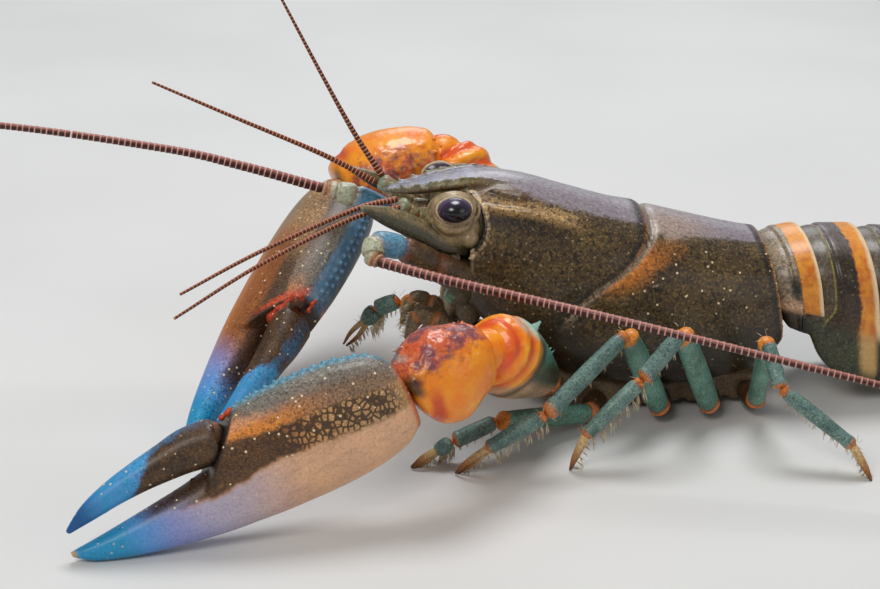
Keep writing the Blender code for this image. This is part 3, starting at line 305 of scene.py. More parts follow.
# Area lights: name, place in metres, size in metres, power in watts, colour.
LIGHTS = (
    ("key", (-0.28, -0.42, 0.5), 0.3, 1.8, (1.0, 0.97, 0.92)),
    ("overhead", (0.05, 0.16, 0.55), 0.26, 1.9, (0.96, 0.98, 1.0)),
    ("fill", (0.45, -0.4, 0.25), 0.4, 0.4, (1.0, 0.96, 0.9)),
    ("rim", (0.1, 0.6, 0.35), 0.3, 0.6, (0.9, 0.95, 1.0)),
)
LIT_PLACE = (0.0, 0.0, 0.015)
WORLD_COLOUR = (0.92, 0.95, 1.0, 1.0)
WORLD_STRENGTH = 0.27
FLOOR_REACH = 2.5

# Textures of the shell, in cells for each metre, the size of its dots, and the depth of its grain.
NET_CELLS = 1250.0
DOT_CELLS = 900.0
DOT_RADIUS = 0.17
GRAIN_DEPTH = 0.00012
SPECULAR_LEVEL = 0.36

NO_MARKS = (0.0, 0.0, 0.0)


# Colours

@functools.lru_cache(maxsize=None)
def tone(red, green, blue):
    """Linear colour from 8-bit values."""
    channels = []
    for value in (red, green, blue):
        share = value / 255
        channels.append(share / 12.92 if share <= 0.04045 else ((share + 0.055) / 1.055) ** 2.4)
    return Vector(channels).freeze()


OLIVE = tone(88, 70, 36)
UMBER = tone(46, 32, 15)
SOOT = tone(16, 11, 7)
TAN = tone(176, 140, 92)
MAUVE = tone(126, 114, 112)
SLATE = tone(104, 106, 130)
OCHRE = tone(198, 116, 34)
ORANGE = tone(240, 120, 10)
AMBER = tone(248, 160, 26)
PLUM = tone(92, 60, 78)
CREAM = tone(232, 210, 172)
PEACH = tone(214, 166, 126)
LAVENDER = tone(134, 142, 198)
SKY = tone(82, 146, 210)
TURQUOISE = tone(30, 142, 190)
DEEP_BLUE = tone(14, 84, 144)
NET_BROWN = tone(52, 34, 22)
BARK = tone(84, 58, 32)
IVORY = tone(182, 186, 158)
BEIGE = tone(180, 156, 120)


def mix(first, second, share):
    """Colour between two, by a share that is kept within 0 and 1."""
    return first.lerp(second, min(max(share, 0.0), 1.0))


def ease(low, high, value):
    """Smooth step from 0 at low to 1 at high; high may be the lower number."""
    share = min(max((value - low) / (high - low), 0.0), 1.0)
    return share * share * (3 - 2 * share)


def band(value, low, high, soft):
    """Mask that is 1 between two values, with soft edges."""
    return ease(low - soft, low + soft, value) * ease(high + soft, high - soft, value)


def spot(point, centre, radii):
    """Mask of a soft ball with three radii."""
    distance = math.sqrt(sum(((point[axis] - centre[axis]) / radii[axis]) ** 2 for axis in range(3)))
    return ease(1.0, 0.35, distance)


def cloud(point, size, seed=0.0):
    """Smooth irregular value between about -1 and 1, with patches of a size."""
    return noise.fractal(Vector(point) / size + Vector((seed, seed * 1.7, -seed)), 0.8, 2.1, 3)


# Making shapes

def curve_at(stations, position):
    """Columns of a station table at a position, by a smooth curve through its rows."""
    rows = stations if stations[0][0] < stations[-1][0] else stations[::-1]
    if position <= rows[0][0]:
        return rows[0][1:]
    if position >= rows[-1][0]:
        return rows[-1][1:]
    index = 0
    while rows[index + 1][0] <= position:
        index += 1
    low, high = rows[index], rows[index + 1]
    before = rows[max(index - 1, 0)]
    after = rows[min(index + 2, len(rows) - 1)]
    span = high[0] - low[0]
    t = (position - low[0]) / span
    values = []
    for column in range(1, len(low)):
        slope_low = (high[column] - before[column]) / (high[0] - before[0]) * span
        slope_high = (after[column] - low[column]) / (after[0] - low[0]) * span
        values.append(
            (2 * t**3 - 3 * t**2 + 1) * low[column] + (t**3 - 2 * t**2 + t) * slope_low
            + (3 * t**2 - 2 * t**3) * high[column] + (t**3 - t**2) * slope_high)
    return tuple(values)


def path_rows(points):
    """Station table of evenly weighted points."""
    last = len(points) - 1
    return [(index / last, *point) for index, point in enumerate(points)]


def even_shares(points, spacing):
    """Shares along a smooth curve that lie a fixed distance apart."""
    rows = path_rows(points)
    count = 600
    places = [Vector(curve_at(rows, index / count)) for index in range(count + 1)]
    shares = [0.0]
    walked = 0.0
    for index in range(count):
        walked += (places[index + 1] - places[index]).length
        if walked >= spacing * len(shares):
            shares.append((index + 1) / count)
    return shares


def power_of(value, exponent):
    """A power that keeps the sign."""
    return math.copysign(abs(value) ** exponent, value)


def round_points(count, exponent):
    """Places round a unit circle that is squared off by an exponent."""
    for index in range(count):
        angle = 2 * math.pi * index / count
        yield power_of(math.cos(angle), exponent), power_of(math.sin(angle), exponent)


def dip(value, centre, width):
    """Bell curve that is 1 at its centre."""
    return math.exp(-((value - centre) / width) ** 2)


def new_shape():
    """Empty shape with layers for its paint and for its marks: specks, net and dots."""
    shape = bmesh.new()
    shape.loops.layers.uv.new("UVMap")
    shape.verts.layers.float_color.new("paint")
    shape.verts.layers.float_color.new("marks")
    return shape


def lay_paint(shape, rule, verts=None):
    """Paint vertices by a rule that gives a colour and marks for a place."""
    paint = shape.verts.layers.float_color["paint"]
    marks = shape.verts.layers.float_color["marks"]
    for vert in (shape.verts if verts is None else verts):
        colour, mark = rule(vert.co)
        vert[paint] = (*colour, 1.0)
        vert[marks] = (*mark, 1.0)


def add_skin(shape, rings, tints=None):
    """Closed surface through rings of points, made from a grid that is rolled up and closed."""
    columns = len(rings[0])
    first = [sum(rings[0], Vector((0, 0, 0))) / columns] * columns
    last = [sum(rings[-1], Vector((0, 0, 0))) / columns] * columns
    rows = [first, *rings, last]
    made = bmesh.ops.create_grid(
        shape, x_segments=columns, y_segments=len(rows) - 1, size=1.0, calc_uvs=True)["verts"]
    paint = shape.verts.layers.float_color["paint"]
    marks = shape.verts.layers.float_color["marks"]
    paints = [tints[0], *tints, tints[-1]] if tints else None
    for index, vert in enumerate(made):
        row, column = divmod(index, columns + 1)
        vert.co = rows[row][column % columns]
        if paints:
            colour, mark = paints[row][column % columns]
            vert[paint] = (*colour, 1.0)
            vert[marks] = (*mark, 1.0)
    bmesh.ops.remove_doubles(shape, verts=made, dist=WELD)


def sample_shares(length, steps, rounds):
    """Shares along a form, closer together where an end is rounded."""
    shares = [index / steps for index in range(steps + 1)]
    for turn in range(1, 6):
        reach = 1 - math.cos(math.radians(15 * turn))
        if rounds[0]:
            shares.append(min(reach * rounds[0] / length, 1.0))
        if rounds[1]:
            shares.append(max(1 - reach * rounds[1] / length, 0.0))
    return sorted(set(round(share, 5) for share in shares))


def path_length(points):
    """Length of the straight lines through points."""
    return sum((Vector(points[k + 1]) - Vector(points[k])).length for k in range(len(points) - 1))


def sweep(shape, points, sizes, side, steps=24, sides=24, rounds=(0.0, 0.0), power=2.2,
          relief=None, tint=None, shares=None):
    """Smooth closed form along a curve. sizes holds half thickness along side and half breadth."""
    rows = [(*row, *size) for row, size in zip(path_rows(points), sizes)]
    length = path_length(points)
    rings = []
    tints = []
    for share in shares or sample_shares(length, steps, rounds):
        x, y, z, thick, broad = curve_at(rows, share)
        centre = Vector((x, y, z))
        ahead = Vector(curve_at(rows, min(share + 0.01, 1.0))[:3])
        behind = Vector(curve_at(rows, max(share - 0.01, 0.0))[:3])
        along = (ahead - behind).normalized()
        across = (Vector(side) - Vector(side).dot(along) * along).normalized()
        deep = along.cross(across)
        factor = 1.0
        for reach, distance in zip(rounds, (share * length, (1 - share) * length)):
            if reach and distance < reach:
                factor *= math.sqrt(max(1 - (1 - distance / reach) ** 2, 0.0004))
        ring = []
        ring_tints = []
        for index in range(sides):
            angle = 2 * math.pi * index / sides
            rise = relief(share, angle) * factor if relief else 0.0
            point = (centre + across * (thick * factor + rise) * power_of(math.cos(angle), 2 / power)
                     + deep * (broad * factor + rise) * power_of(math.sin(angle), 2 / power))
            ring.append(point)
            if tint:
                ring_tints.append(tint(share, angle, point))
        rings.append(ring)
        tints.append(ring_tints)
    add_skin(shape, rings, tints if tint else None)


def add_cone(shape, root, tip, radius, sides=8, tip_radius=0.05, rule=None):
    """Closed tapered spine from its root to its tip."""
    root, tip = Vector(root), Vector(tip)
    along = tip - root
    turn = along.to_track_quat("Z", "Y").to_matrix().to_4x4()
    made = bmesh.ops.create_cone(
        shape, cap_ends=True, segments=sides, radius1=radius, radius2=tip_radius, depth=along.length,
        matrix=Matrix.Translation((root + tip) / 2) @ turn)["verts"]
    if rule:
        lay_paint(shape, rule, made)


def add_ball(shape, centre, radii, rings=10, sides=14, rule=None):
    """Closed ball with three radii."""
    made = bmesh.ops.create_uvsphere(
        shape, u_segments=sides, v_segments=rings, radius=1.0,
        matrix=Matrix.Translation(centre) @ Matrix.Diagonal((*radii, 1.0)))["verts"]
    if rule:
        lay_paint(shape, rule, made)


def cut_flat(shape, point, normal):
    """Remove what lies beyond a plane, on the side its normal points to, and close the cut."""
    geometry = shape.verts[:] + shape.edges[:] + shape.faces[:]
    bmesh.ops.bisect_plane(
        shape, geom=geometry, plane_co=point, plane_no=normal, clear_outer=True, dist=WELD)
    rim = [edge for edge in shape.edges if edge.is_boundary]
    bmesh.ops.holes_fill(shape, edges=rim, sides=0)


def as_object(name, shape):
    """Object that holds a shape."""
    mesh = bpy.data.meshes.new(name)
    shape.to_mesh(mesh)
    shape.free()
    item = bpy.data.objects.new(name, mesh)
    bpy.context.scene.collection.objects.link(item)
    return item


def applied(item):
    """Shape of an object with its modifiers applied; the object is removed."""
    graph = bpy.context.evaluated_depsgraph_get()
    mesh = bpy.data.meshes.new_from_object(item.evaluated_get(graph))
    shape = bmesh.new()
    shape.from_mesh(mesh)
    bpy.data.objects.remove(item, do_unlink=True)
    bpy.data.meshes.remove(mesh)
    return shape


def fuse(shape, voxel, smoothing, rule, swell=None):
    """One closed skin around overlapping closed forms, blended where they meet, then painted."""
    bmesh.ops.recalc_face_normals(shape, faces=shape.faces)
    item = as_object("fused", shape)
    modifier = item.modifiers.new("blend", "REMESH")
    modifier.mode = "VOXEL"
    modifier.voxel_size = voxel
    blended = applied(item)
    for _ in range(smoothing):
        bmesh.ops.smooth_vert(
            blended, verts=blended.verts, factor=0.5, use_axis_x=True, use_axis_y=True, use_axis_z=True)
    if swell:
        blended.normal_update()
        shifts = [vert.normal * swell(vert.co) for vert in blended.verts]
        for vert, shift in zip(blended.verts, shifts):
            vert.co += shift
    for layer in list(blended.verts.layers.float_color.values()):
        blended.verts.layers.float_color.remove(layer)
    blended.verts.layers.float_color.new("paint")
    blended.verts.layers.float_color.new("marks")
    lay_paint(blended, rule)
    return blended


def subtract(shape, cutters):
    """Take closed cutters away from a closed shape."""
    bmesh.ops.recalc_face_normals(shape, faces=shape.faces)
    bmesh.ops.recalc_face_normals(cutters, faces=cutters.faces)
    item = as_object("cut", shape)
    tool = as_object("cutter", cutters)
    modifier = item.modifiers.new("cut", "BOOLEAN")
    modifier.operation = "DIFFERENCE"
    modifier.object = tool
    modifier.solver = "EXACT"
    result = applied(item)
    bpy.data.objects.remove(tool, do_unlink=True)
    return result


def finish_piece(name, shape, finish, slot, nodes=()):
    """Put a painted shape in place, in metres, and let it stand for its nodes."""
    bmesh.ops.recalc_face_normals(shape, faces=shape.faces)
    for vert in shape.verts:
        vert.co.z = max(vert.co.z, 0.0)
    bmesh.ops.translate(shape, vec=MIDDLE, verts=shape.verts)
    bmesh.ops.scale(shape, vec=(MM, MM, MM), verts=shape.verts)
    for face in shape.faces:
        face.smooth = True
    item = as_object(name, shape)
    item.data.materials.append(finish)
    if nodes:
        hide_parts(*nodes)
    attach(item, "root")
    return item


# Finishes

def new_group(name, inputs, outputs):
    """Node group with named inputs and outputs."""
    group = bpy.data.node_groups.new(name, "ShaderNodeTree")
    for label, kind in inputs:
        group.interface.new_socket(name=label, in_out="INPUT", socket_type=kind)
    for label, kind in outputs:
        group.interface.new_socket(name=label, in_out="OUTPUT", socket_type=kind)
    return group, group.nodes.new("NodeGroupInput"), group.nodes.new("NodeGroupOutput")


def range_mask(tree, value, low, high):
    """Mask from 0 at low to 1 at high of a value."""
    node = tree.nodes.new("ShaderNodeMapRange")
    node.interpolation_type = "SMOOTHSTEP"
    tree.links.new(value, node.inputs["Value"])
    node.inputs["From Min"].default_value = low
    node.inputs["From Max"].default_value = high
    return node.outputs["Result"]


def feed(tree, socket, value):
    """Give a socket a number, or the value of another socket."""
    if isinstance(value, (int, float)):
        socket.default_value = value
    else:
        tree.links.new(value, socket)


def combine(tree, operation, first, second):
    """Result of one sum on two values, each a socket or a number."""
    node = tree.nodes.new("ShaderNodeMath")
    node.operation = operation
    for socket, value in zip(node.inputs, (first, second)):
        feed(tree, socket, value)
    return node.outputs["Value"]


def blend_colours(tree, share, first, second, way="MIX"):
    """Colour between two colours, each a socket or a value."""
    node = tree.nodes.new("ShaderNodeMix")
    node.data_type = "RGBA"
    node.blend_type = way
    node.clamp_result = True
    for index, value in ((0, share), (6, first), (7, second)):
        if isinstance(value, bpy.types.NodeSocket):
            tree.links.new(value, node.inputs[index])
        elif index == 0:
            node.inputs[0].default_value = value
        else:
            node.inputs[index].default_value = (*value, 1.0)
    return node.outputs[2]


def noise_value(tree, place, scale, detail=2.0):
    """Noise texture value at a place, its scale a socket or a number."""
    node = tree.nodes.new("ShaderNodeTexNoise")
    tree.links.new(place, node.inputs["Vector"])
    node.inputs["Detail"].default_value = detail
    feed(tree, node.inputs["Scale"], scale)
    return node.outputs[0]


def cells(tree, place, scale, feature="F1"):
    """Cell texture at a place."""
    node = tree.nodes.new("ShaderNodeTexVoronoi")
    node.feature = feature
    tree.links.new(place, node.inputs["Vector"])
    feed(tree, node.inputs["Scale"], scale)
    return node


def make_specks_group():
    """Fine pale and dark specks."""
    group, given, result = new_group(
        "fine_specks", (("Place", "NodeSocketVector"), ("Per metre", "NodeSocketFloat")),
        (("Pale", "NodeSocketFloat"), ("Dark", "NodeSocketFloat")))
    place, scale = given.outputs["Place"], given.outputs["Per metre"]
    pale = range_mask(group, noise_value(group, place, scale, 1.5), 0.53, 0.64)
    finer = combine(group, "MULTIPLY", scale, 0.62)
    dark = range_mask(group, noise_value(group, place, finer, 2.0), 0.5, 0.38)
    group.links.new(pale, result.inputs["Pale"])
    group.links.new(dark, result.inputs["Dark"])
    return group


def make_net_group():
    """Dark net around rounded cells."""
    group, given, result = new_group(
        "cell_net", (("Place", "NodeSocketVector"), ("Per metre", "NodeSocketFloat")),
        (("Net", "NodeSocketFloat"),))
    place, scale = given.outputs["Place"], given.outputs["Per metre"]
    web = cells(group, place, scale, "DISTANCE_TO_EDGE")
    web.inputs["Randomness"].default_value = 0.8
    distance = web.outputs["Distance"]
    waver = combine(group, "MULTIPLY", noise_value(group, place, 2600.0, 2.0), 0.14)
    net = range_mask(group, combine(group, "SUBTRACT", distance, waver), 0.16, 0.0)
    group.links.new(net, result.inputs["Net"])
    return group


def make_dots_group():
    """Scattered round dots, on some of the cells only."""
    group, given, result = new_group(
        "pale_dots",
        (("Place", "NodeSocketVector"), ("Per metre", "NodeSocketFloat"), ("Radius", "NodeSocketFloat")),
        (("Dots", "NodeSocketFloat"),))
    cell = cells(group, given.outputs["Place"], given.outputs["Per metre"])
    inside = combine(group, "SUBTRACT", given.outputs["Radius"], cell.outputs["Distance"])
    round_dot = range_mask(group, inside, 0.0, 0.05)
    split = group.nodes.new("ShaderNodeSeparateColor")
    group.links.new(cell.outputs["Color"], split.inputs["Color"])
    chosen = range_mask(group, split.outputs["Red"], 0.3, 0.36)
    dots = combine(group, "MULTIPLY", round_dot, chosen)
    group.links.new(dots, result.inputs["Dots"])
    return group


def make_grain_group():
    """Height of a shell's skin: fine grain, tiny pits and soft unevenness."""
    group, given, result = new_group(
        "shell_grain", (("Place", "NodeSocketVector"), ("Per metre", "NodeSocketFloat")),
        (("Height", "NodeSocketFloat"),))
    place, scale = given.outputs["Place"], given.outputs["Per metre"]
    fine = noise_value(group, place, scale, 3.0)
    broad = noise_value(group, place, 420.0, 2.0)
    pits = cells(group, place, combine(group, "MULTIPLY", scale, 0.4)).outputs["Distance"]
    height = combine(group, "ADD", combine(group, "MULTIPLY", fine, 0.6),
                     combine(group, "MULTIPLY", range_mask(group, pits, 0.08, 0.3), 0.25))
    height = combine(group, "ADD", height, combine(group, "MULTIPLY", broad, 0.5))
    group.links.new(height, result.inputs["Height"])
    return group


def place_group(tree, group, **values):
    """Group node in a material, reading object coordinates, with its own values."""
    node = tree.nodes.new("ShaderNodeGroup")
    node.node_tree = group
    tree.links.new(tree.nodes["place"].outputs["Object"], node.inputs["Place"])
    for label, value in values.items():
        node.inputs[label.replace("_", " ")].default_value = value
    return node


def new_finish(name, roughness, coat=0.0, coat_roughness=0.2):
    """Material with a Principled shader, its plain values set, and a texture coordinate node."""
    material = bpy.data.materials.new(name)
    material.use_nodes = True
    tree = material.node_tree
    shader = tree.nodes["Principled BSDF"]
    shader.inputs["Roughness"].default_value = roughness
    shader.inputs["Coat Weight"].default_value = coat
    shader.inputs["Coat Roughness"].default_value = coat_roughness
    shader.inputs["Specular IOR Level"].default_value = SPECULAR_LEVEL
    place = tree.nodes.new("ShaderNodeTexCoord")
    place.name = "place"
    return material, tree, shader


def add_bump(tree, shader, height, strength, distance):
    """Let a height shape the surface finely."""
    relief = tree.nodes.new("ShaderNodeBump")
    relief.inputs["Strength"].default_value = strength
    relief.inputs["Distance"].default_value = distance
    tree.links.new(height, relief.inputs["Height"])
    tree.links.new(relief.outputs["Normal"], shader.inputs["Normal"])


def painted_shell(name, roughness, coat, coat_roughness, specks, grain, bump):
    """Shell finish that reads its piece's paint and marks, with specks, net, dots and grain."""
    material, tree, shader = new_finish(name, roughness, coat, coat_roughness)
    paint = tree.nodes.new("ShaderNodeAttribute")
    paint.attribute_name = "paint"
    marks = tree.nodes.new("ShaderNodeAttribute")
    marks.attribute_name = "marks"
    split = tree.nodes.new("ShaderNodeSeparateColor")
    tree.links.new(marks.outputs["Color"], split.inputs["Color"])
    strength = split.outputs["Red"]
    speck = place_group(tree, SPECKS, Per_metre=specks)
    net = place_group(tree, NET, Per_metre=NET_CELLS)
    dots = place_group(tree, DOTS, Per_metre=DOT_CELLS, Radius=DOT_RADIUS)
    base = paint.outputs["Color"]
    lighter = blend_colours(tree, 1.0, base, (2.6, 2.45, 2.2), "MULTIPLY")
    lighter = blend_colours(tree, 0.12, lighter, tuple(TAN))
    darker = blend_colours(tree, 1.0, base, (0.34, 0.3, 0.27), "MULTIPLY")
    colour = blend_colours(tree, combine(tree, "MULTIPLY", speck.outputs["Dark"], strength), base, darker)
    pale = combine(tree, "MULTIPLY", speck.outputs["Pale"], strength)
    colour = blend_colours(tree, combine(tree, "MULTIPLY", pale, 0.6), colour, lighter)
    netting = combine(tree, "MULTIPLY", net.outputs["Net"], split.outputs["Green"])
    colour = blend_colours(tree, netting, colour, tuple(NET_BROWN))
    dotting = combine(tree, "MULTIPLY", dots.outputs["Dots"], split.outputs["Blue"])
    colour = blend_colours(tree, dotting, colour, tuple(CREAM))
    tree.links.new(colour, shader.inputs["Base Color"])
    skin = place_group(tree, GRAIN, Per_metre=grain).outputs["Height"]
    raised = combine(tree, "ADD", combine(tree, "MULTIPLY", dotting, 0.8),
                     combine(tree, "MULTIPLY", pale, 0.35))
    add_bump(tree, shader, combine(tree, "ADD", skin, raised), bump, GRAIN_DEPTH)
    rough = combine(tree, "ADD", combine(tree, "MULTIPLY", skin, 0.24), roughness - 0.14)
    tree.links.new(rough, shader.inputs["Roughness"])
    return material


def cornea_finish():
    """Polished faceted cornea."""
    material, tree, shader = new_finish("cornea_gloss", 0.2, 0.5, 0.07)
    paint = tree.nodes.new("ShaderNodeAttribute")
    paint.attribute_name = "paint"
    mottle = place_group(tree, SPECKS, Per_metre=9000.0)
    darker = blend_colours(tree, 1.0, paint.outputs["Color"], (0.5, 0.45, 0.5), "MULTIPLY")
    share = combine(tree, "MULTIPLY", mottle.outputs["Dark"], 0.5)
    tree.links.new(blend_colours(tree, share, paint.outputs["Color"], darker), shader.inputs["Base Color"])
    facets = cells(tree, tree.nodes["place"].outputs["Object"], 11000.0, "DISTANCE_TO_EDGE")
    add_bump(tree, shader, range_mask(tree, facets.outputs["Distance"], 0.0, 0.12), 0.08, 0.00003)
    return material


def bristle_finish():
    """Pale horny bristles, darker here and there."""
    material, tree, shader = new_finish("bristle_horn", 0.45, 0.1, 0.3)
    place = tree.nodes["place"].outputs["Object"]
    shade = range_mask(tree, noise_value(tree, place, 700.0), 0.35, 0.65)
    colour = blend_colours(tree, shade, tuple(tone(186, 156, 108)), tuple(tone(238, 224, 194)))
    tree.links.new(colour, shader.inputs["Base Color"])
    add_bump(tree, shader, noise_value(tree, place, 5000.0), 0.2, 0.00003)
    return material


def floor_finish():
    """Plain pale matt floor with a faint unevenness."""
    material, tree, shader = new_finish("pale_floor", 0.85)
    place = tree.nodes["place"].outputs["Object"]
    shade = range_mask(tree, noise_value(tree, place, 14.0), 0.3, 0.7)
    colour = blend_colours(tree, shade, (0.66, 0.655, 0.64), (0.7, 0.695, 0.68))
    tree.links.new(colour, shader.inputs["Base Color"])
    return material


SPECKS = make_specks_group()
NET = make_net_group()
DOTS = make_dots_group()
GRAIN = make_grain_group()
CARAPACE_SHELL = painted_shell("carapace_shell", 0.36, 0.3, 0.16, 2600.0, 5200.0, 0.45)
TAIL_SHELL = painted_shell("tail_shell", 0.36, 0.3, 0.2, 3000.0, 4200.0, 0.3)
CLAW_SHELL = painted_shell("claw_shell", 0.42, 0.2, 0.25, 4200.0, 5200.0, 0.5)
ARM_SHELL = painted_shell("arm_shell", 0.32, 0.4, 0.15, 3400.0, 3400.0, 0.4)
LEG_SHELL = painted_shell("leg_shell", 0.42, 0.2, 0.25, 4200.0, 5200.0, 0.4)
HEAD_SHELL = painted_shell("head_parts_shell", 0.36, 0.35, 0.18, 3600.0, 4500.0, 0.4)
FEELER_SHELL = painted_shell("feeler_shell", 0.42, 0.15, 0.25, 4000.0, 6000.0, 0.2)
CORNEA = cornea_finish()
BRISTLE = bristle_finish()


# Bristles

class Bristles:
    """Bristles that are gathered into one piece, each with its own patch of the baking map."""

    def __init__(self, name, slot):
        self.name = name
        self.slot = slot
        self.shape = bmesh.new()
        self.map = self.shape.loops.layers.uv.new("OFBake")
        self.random = random.Random(len(name) * 17 + 3)

    def add(self, root, way, length, radius, place):
        """One bent tapering bristle of two lengths; place is its root on the unwrapped skin."""
        root, way = Vector(root), Vector(way).normalized()
        middle = root + way * length * 0.55
        tip = middle + (way + Vector((0.0, 0.0, -0.2))).normalized() * length * 0.45
        for start, end, wide, thin in ((root, middle, radius, radius * 0.75),
                                       (middle, tip, radius * 0.75, radius * 0.2)):
            along = end - start
            turn = along.to_track_quat("Z", "Y").to_matrix().to_4x4()
            made = bmesh.ops.create_cone(
                self.shape, cap_ends=True, segments=3, radius1=wide, radius2=thin, depth=along.length,
                matrix=Matrix.Translation((start + end) / 2) @ turn)["verts"]
            for face in {face for vert in made for face in vert.link_faces}:
                for corner, loop in enumerate(face.loops):
                    angle = 2 * math.pi * corner / len(face.loops)
                    loop[self.map].uv = (
                        min(max(place[0], 0.01), 0.99) + 0.0014 * math.cos(angle),
                        min(max(place[1], 0.01), 0.99) + 0.0014 * math.sin(angle))

    def tuft(self, root, way, length, place, count=3, radius=0.055, fan=0.25):
        """A few bristles from one place, fanned out a little."""
        for _ in range(count):
            spread = Vector([self.random.uniform(-fan, fan) for _ in range(3)])
            scale = self.random.uniform(0.7, 1.1)
            self.add(root, Vector(way).normalized() + spread, length * scale, radius, place)

    def finish(self):
        """Make the piece."""
        finish_piece(self.name, self.shape, BRISTLE, self.slot)


# Carapace

def groove_line(height):
    """Position of the neck groove at a height."""
    return curve_at(NECK_GROOVE, height)[0]


def rear_lean(station):
    """How far the rings near the rear edge lean back toward their lower side."""
    share = max(0.0, (station - REAR_LEAN_FROM) / (CARAPACE_STATIONS[-1][0] - REAR_LEAN_FROM))
    return CARAPACE_REAR_LEAN * share**2


def groove_press(x, y, z):
    """How deep the grooves press the carapace in at a place."""
    gap = (x - groove_line(z)) * 0.8
    fade = ease(14.5, 18.0, z)
    press = GROOVE_DEPTH * dip(gap, 0.0, GROOVE_WIDTH) * fade
    if gap < 0:
        press -= GROOVE_STEP * ease(-4.0, -0.8, gap) * fade
    if x > BACK_LINES[0][0] and z > 18:
        press += 0.16 * dip(abs(y), curve_at(BACK_LINES, x)[0], 0.4)
    return press


def carapace_ring(station, inset):
    """One ring of the carapace, with the neck groove and the faint grooves of the back pressed in."""
    half, top, low = curve_at(CARAPACE_STATIONS, station)
    middle = low + 0.46 * (top - low)
    lean = rear_lean(station)
    ring = []
    for index in range(CARAPACE_SIDES):
        angle = 2 * math.pi * index / CARAPACE_SIDES
        across, up = math.cos(angle), math.sin(angle)
        power = CARAPACE_POWER_TOP if up > 0 else CARAPACE_POWER_LOW
        height = (top - middle) if up > 0 else (middle - low)
        z = middle + height * power_of(up, 2 / power)
        y = half * power_of(across, 2 / power)
        press = inset + groove_press(station, y, z)
        y -= math.copysign(min(press, abs(y)), y) * min(abs(across) * 1.6, 1.0)
        z -= press * power_of(up, 0.7)
        if z < middle and abs(y) < UNDERSIDE_SHARE * half and up < -0.5:
            z += UNDERSIDE_RISE * ease(UNDERSIDE_SHARE * half, UNDERSIDE_SHARE * half - 1.0, abs(y))
        ring.append(Vector((station + lean * (top - z), y, z)))
    return ring


def carapace_forms():
    """Carapace shell with its front and rear hollowed and the orbits cut out."""
    rings = [carapace_ring(station, inset) for station, inset in FRONT_RECESS]
    first, last = CARAPACE_STATIONS[0][0], CARAPACE_STATIONS[-1][0]
    count = round((last - first) / CARAPACE_STEP)
    for index in range(1, count + 1):
        rings.append(carapace_ring(first + (last - first) * index / count, 0.0))
    rings += [carapace_ring(station, inset) for station, inset in REAR_RECESS]
    shape = new_shape()
    add_skin(shape, rings)
    cutters = new_shape()
    size = (ORBIT_RADIUS, ORBIT_RADIUS)
    for _, side in SIDES:
        path = ((ORBIT_CENTRE[0], side * (ORBIT_INNER_Y - 0.5), ORBIT_CENTRE[1]),
                (ORBIT_CENTRE[0], side * 14.0, ORBIT_CENTRE[1]))
        sweep(cutters, path, (size, size), (1, 0, 0), steps=4, sides=64, power=2.0)
    return subtract(shape, cutters)


def rostrum_form(shape):
    """The rostrum, hollowed between two raised rims that carry teeth and grains."""
    rings = []
    first, last = ROSTRUM_STATIONS[0][0], ROSTRUM_STATIONS[-1][0]
    count = 80
    for index in range(count + 1):
        x = first + (last - first) * index / count
        half, top, thick = curve_at(ROSTRUM_STATIONS, x)
        ring = []
        for across, up in round_points(64, 0.8):
            z = top - 0.45 * thick + up * thick * (0.45 if up > 0 else 0.62)
            if up > 0:
                z -= min(ROSTRUM_RIM, thick / 3) * ease(0.86, 0.5, abs(across))
            ring.append(Vector((x, half * across, z)))
        rings.append(ring)
    add_skin(shape, rings)
    for _, side in SIDES:
        for x in ROSTRUM_TEETH:
            half, top, _ = curve_at(ROSTRUM_STATIONS, x)
            add_cone(shape, (x + 0.5, side * half * 0.86, top - 0.3),
                     (x - 0.75, side * half * 0.95, top + 0.38), 0.34, 8)
        for index in range(26):
            x = -0.8 + index * 0.42
            half, top, _ = curve_at(ROSTRUM_STATIONS, x)
            add_ball(shape, (x, side * half * 0.86, top + 0.02), (0.2, 0.17, 0.16), 6, 8)


def surface_width(x, z):
    """Half width of the carapace at a position and height."""
    half, top, low = curve_at(CARAPACE_STATIONS, x)
    middle = low + 0.46 * (top - low)
    if z >= middle:
        share = min((z - middle) / (top - middle), 1.0)
        return half * (1 - share**CARAPACE_POWER_TOP) ** (1 / CARAPACE_POWER_TOP)
    share = min((middle - z) / (middle - low), 1.0)
    return half * (1 - share**CARAPACE_POWER_LOW) ** (1 / CARAPACE_POWER_LOW)


def ridges_and_spines(shape):
    """Ridge behind each eye with its row of grains, rims of the orbits, and the cheek spines."""
    for _, side in SIDES:
        ridge = [(x, side * y, z) for x, y, z in EYE_RIDGE]
        sweep(shape, ridge, ((0.3, 0.5), (0.5, 0.6), (0.55, 0.7), (0.45, 0.6), (0.2, 0.3)), (0, 0, 1),
              steps=40, sides=16, rounds=(0.5, 0.5))
        rows = path_rows(ridge)
        for index in range(22):
            x, y, z = curve_at(rows, 0.08 + 0.84 * index / 21)
            add_ball(shape, (x, y + side * 0.35, z + 0.38), (0.2, 0.17, 0.17), 6, 8)
        for root, tip, radius in CHEEK_SPINES:
            add_cone(shape, (root[0], side * root[1], root[2]), (tip[0], side * tip[1], tip[2]), radius, 12)
        rim = []
        for degrees in range(-62, 71, 12):
            angle = math.radians(degrees)
            x = ORBIT_CENTRE[0] + (ORBIT_RADIUS + 0.12) * math.cos(angle)
            z = ORBIT_CENTRE[1] + (ORBIT_RADIUS + 0.12) * math.sin(angle)
            rim.append((x, side * surface_width(max(x, 3.0), z), z))
        sweep(shape, rim, [(0.34, 0.34)] * len(rim), (0, side, 0), steps=60, sides=12, rounds=(0.3, 0.3))


